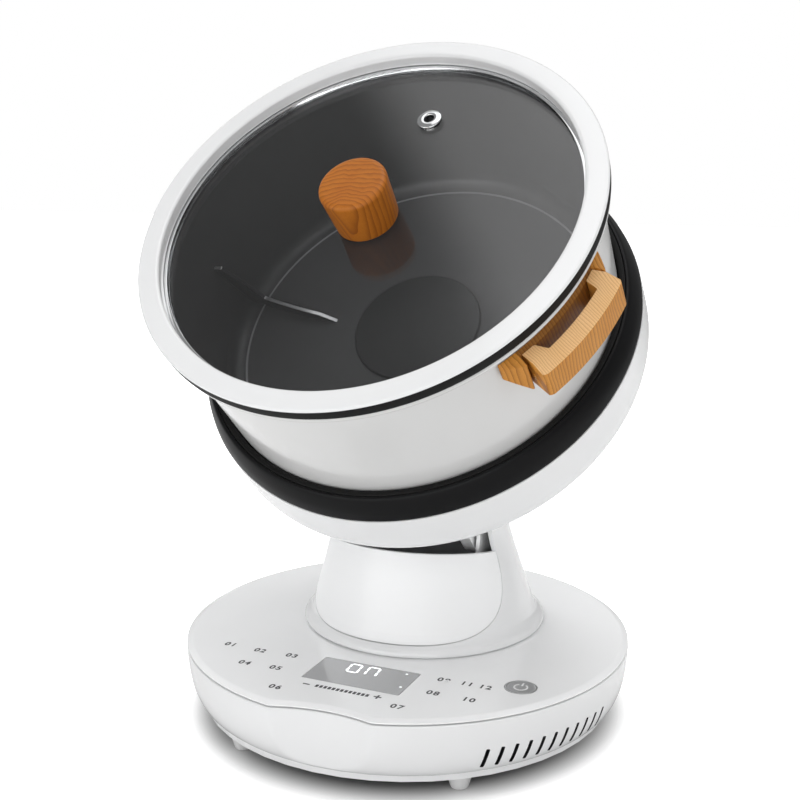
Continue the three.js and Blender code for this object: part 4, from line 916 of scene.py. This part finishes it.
BAND_OUTSIDE, SEAT = 135, 157.7  # the seat is what the knob and the eyelet stand on
CHROME = metal("polished_band", (0.82, 0.83, 0.84), 0.05, 0.1, lines=1500.0, depth=0.03, space=head_space)
gasket = lathe("gasket", rounded([
    (137, 156.7), (145.9, 156.7, 0.8), (146.7, 158.2, 0.8), (146.7, 164.3, 0.5), (137, 164.3)]),
    HEAD, RUBBER)
stands_for(gasket, "lid", "seal", "lid_gasket")
ring = lathe("ring", rounded([
    (133, 158.8, 0.5), (BAND_OUTSIDE, 158.8, 0.4), (BAND_OUTSIDE, 164.5), (147, 164.5, 0.3),
    (147, 165.4, 0.7), (146.2, 166.4, 0.8), (140, 166.75, 2), (134.4, 166.75, 1.0), (133, 165.6, 0.8)],
    steps=5), HEAD, WHITE)
stands_for(ring, "lid", "white_shell", "lid_ring")
band = lathe("band", rounded([
    (131, 152.4, 0.2), (BAND_OUTSIDE, 152.4, 0.4), (BAND_OUTSIDE, 158.4, 0.4), (131, 158.4, 0.3),
    (131, SEAT, 0.2), (133.9, SEAT), (133.9, 153.1), (131, 153.1, 0.2)]), HEAD, CHROME)
stands_for(band, "lid", "chrome", "lid_band")

# Glass and eyelet. A flat tempered pane with a slight grey tint lets light through to the
# pot; a bright turned eyelet in a hole in it lets the steam out.

GLASS, tree, shader = material("tinted_glass", {"Transmission Weight": 1.0, "IOR": 1.45})
skin = use(tree, moulded, {"Grain": 60.0, "Depth": 0.01, "Tone": 0.05})
tint = mixed(tree, skin["Tone"], BLACK_TONE, (0.86, 0.865, 0.87))
surface(tree, shader, tint, spread(tree, skin["Patch"], 0.0, 0.03))
light_path = add(tree, "LightPath").outputs
passing = maths(tree, "MAXIMUM", light_path["Is Shadow Ray"], light_path["Is Diffuse Ray"])
clear = add(tree, "BsdfTransparent", {"Color": tint})
blended = add(tree, "MixShader", {0: passing, 1: shader.outputs[0], 2: clear.outputs[0]})
tree.links.new(blended.outputs[0], tree.nodes["Material Output"].inputs["Surface"])
EYELET_REACH, EYELET_TURN = 84.5, 79.4
eyelet_place = HEAD @ Matrix.Translation((*polar(EYELET_REACH, EYELET_TURN), 0))
glass = lathe("glass", rounded([
    (3, 153.3), (133.3, 153.3), (133.3, 157.3), (3, 157.3)]), HEAD, GLASS)
carve(glass, [(post_mesh(6.3, 150, 160), eyelet_place)])
stands_for(glass, "lid", "glass", "lid_glass")
eyelet = lathe("eyelet", rounded([
    (3.3, 153), (6, 153), (6, SEAT), (8, SEAT, 0.3), (8, 158.6, 0.8), (5.6, 159.4, 1.2),
    (3.3, 159.2, 0.8)]), eyelet_place, CHROME, 64)
stands_for(eyelet, "lid", "chrome", "vent_eyelet")

# Knob. Turned from dark reddish wood, a little wider towards its top, and held from below by
# a steel screw and washer through the glass.

BORE, BORE_END = 2.8, 172
KNOB_WOOD = wood(
    "knob_wood", (0.006, -0.045, 0.17), (math.radians(6), math.radians(4), 0),
    (0.55, 0.19, 0.022), (0.43, 0.125, 0.012), (0.19, 0.045, 0.004), 330.0)
knob_side = [(19.6, SEAT, 0.8), (20.1, 166), (20.6, 176), (21.3, 186.2, 1.8), (19.6, 188.0, 2.2), (0, 188.1)]
knob_line = rounded([(BORE, SEAT), *knob_side], closed=False, steps=6)
knob = lathe("knob", [*knob_line, (0, BORE_END), (BORE, BORE_END)], HEAD, KNOB_WOOD, 128)
stands_for(knob, "lid", "wood", "lid_knob")
dress(STEEL, "knob_screw")

# Floor. A wide sheet of pale paper, painted dark grey close round the machine as a painted
# contact shadow; what the camera sees of it fades to plain white away from the machine's shadow.

SHADE_END, WHITE_START = 0.12, 0.172
FLOOR, tree, shader = material("floor", {
    "Roughness": 0.6, "Specular IOR Level": 0.2, "Emission Color": (1, 1, 1, 1)})
paper = add(tree, "TexNoise", {"Vector": place_of(tree), "Scale": 6.0})
plain_paper = mixed(tree, paper.outputs[0], (0.79, 0.79, 0.79), (0.82, 0.82, 0.82))
away = length_of(tree, from_point(tree, place_of(tree), (0, shift, 0)))
lift = ramp(tree, away, SHADE_END, WHITE_START)
# Close to the machine the paper is painted dark grey: a painted contact shadow.
tree.links.new(mixed(tree, lift, (0.2, 0.2, 0.2), plain_paper), shader.inputs["Base Color"])
seen = add(tree, "LightPath").outputs["Is Camera Ray"]
tree.links.new(maths(tree, "MULTIPLY", seen, lift), shader.inputs["Emission Strength"])
floor = finish_mesh("floor", slab_mesh((0, 0), (12, 12), -0.02, -0.0003), Matrix(), FLOOR)

# Light. Large soft lights in a studio that grows a little brighter upwards, with a bright
# ceiling and a soft panel overhead; the camera itself sees plain white all round.

world = bpy.data.worlds.new("studio")
bpy.context.scene.world = world
world.use_nodes = True
tree = world.node_tree
around = add(tree, "TexCoord").outputs["Generated"]
split = add(tree, "SeparateXYZ", {0: around}).outputs
height = split[2]
level = ramp(tree, height, -0.1, 0.9, 0.24, 0.3)
ceiling = ramp(tree, height, 0.9, 1.0, 0.0, 1.1)
rightwards = maths(tree, "MULTIPLY_ADD", split[1], 0.5, split[0])
# The panel overhead is mirrored in the right part of the glass only.
panel = ramp(tree, rightwards, -0.43, -0.36, 0.0, 0.8)
overhead = ramp(tree, height, 0.82, 0.9)
above = maths(tree, "MULTIPLY_ADD", panel, overhead, ceiling)
strength = maths(tree, "ADD", level, above)
soft = add(tree, "Background", {"Color": (1, 1, 1, 1), "Strength": strength})
plain = add(tree, "Background", {"Color": (1, 1, 1, 1), "Strength": 1.0})
seen = add(tree, "LightPath").outputs["Is Camera Ray"]
both = add(tree, "MixShader", {0: seen, 1: soft.outputs[0], 2: plain.outputs[0]})
tree.links.new(both.outputs[0], tree.nodes["World Output"].inputs["Surface"])


def soft_light(name, place, aim, size, power, mirrored=True):
    """A lamp as a soft panel; the glass, the metal and the enamel show it only if mirrored."""
    data = bpy.data.lights.new(name, "AREA")
    data.shape, data.size, data.size_y, data.energy = "RECTANGLE", size[0], size[1], power
    light = bpy.data.objects.new(name, data)
    light.location = place
    light.rotation_euler = (Vector(aim) - Vector(place)).to_track_quat("-Z", "Y").to_euler()
    light.visible_glossy = light.visible_transmission = mirrored
    bpy.context.scene.collection.objects.link(light)


soft_light("front_left", (-1.05, -1.35, 0.75), (0, 0, 0.2), (1.4, 1.2), 2.5)
soft_light("front_low", (-0.1, -1.9, 0.28), (0, 0, 0.15), (3.0, 0.45), 15)
soft_light("front_high", (0.6, -1.35, 1.3), (0, 0, 0.1), (1.7, 0.4), 3.5)
soft_light("right_side", (1.4, -0.1, 0.7), (0, 0, 0.2), (1.2, 0.5), 2.5, mirrored=False)
soft_light("overhead", (0.2, 0.4, 1.7), (0, 0, 0.2), (1.4, 1.4), 3.0, mirrored=False)
soft_light("high_left", (-0.95, 0.75, 1.2), (0, 0, 0.1), (1.0, 1.0), 12.5, mirrored=False)
soft_light("back_right", (1.3, 0.8, 0.9), (0, 0, 0.05), (1.0, 0.8), 5.5, mirrored=False)

bpy.context.scene.view_settings.view_transform = "Standard"
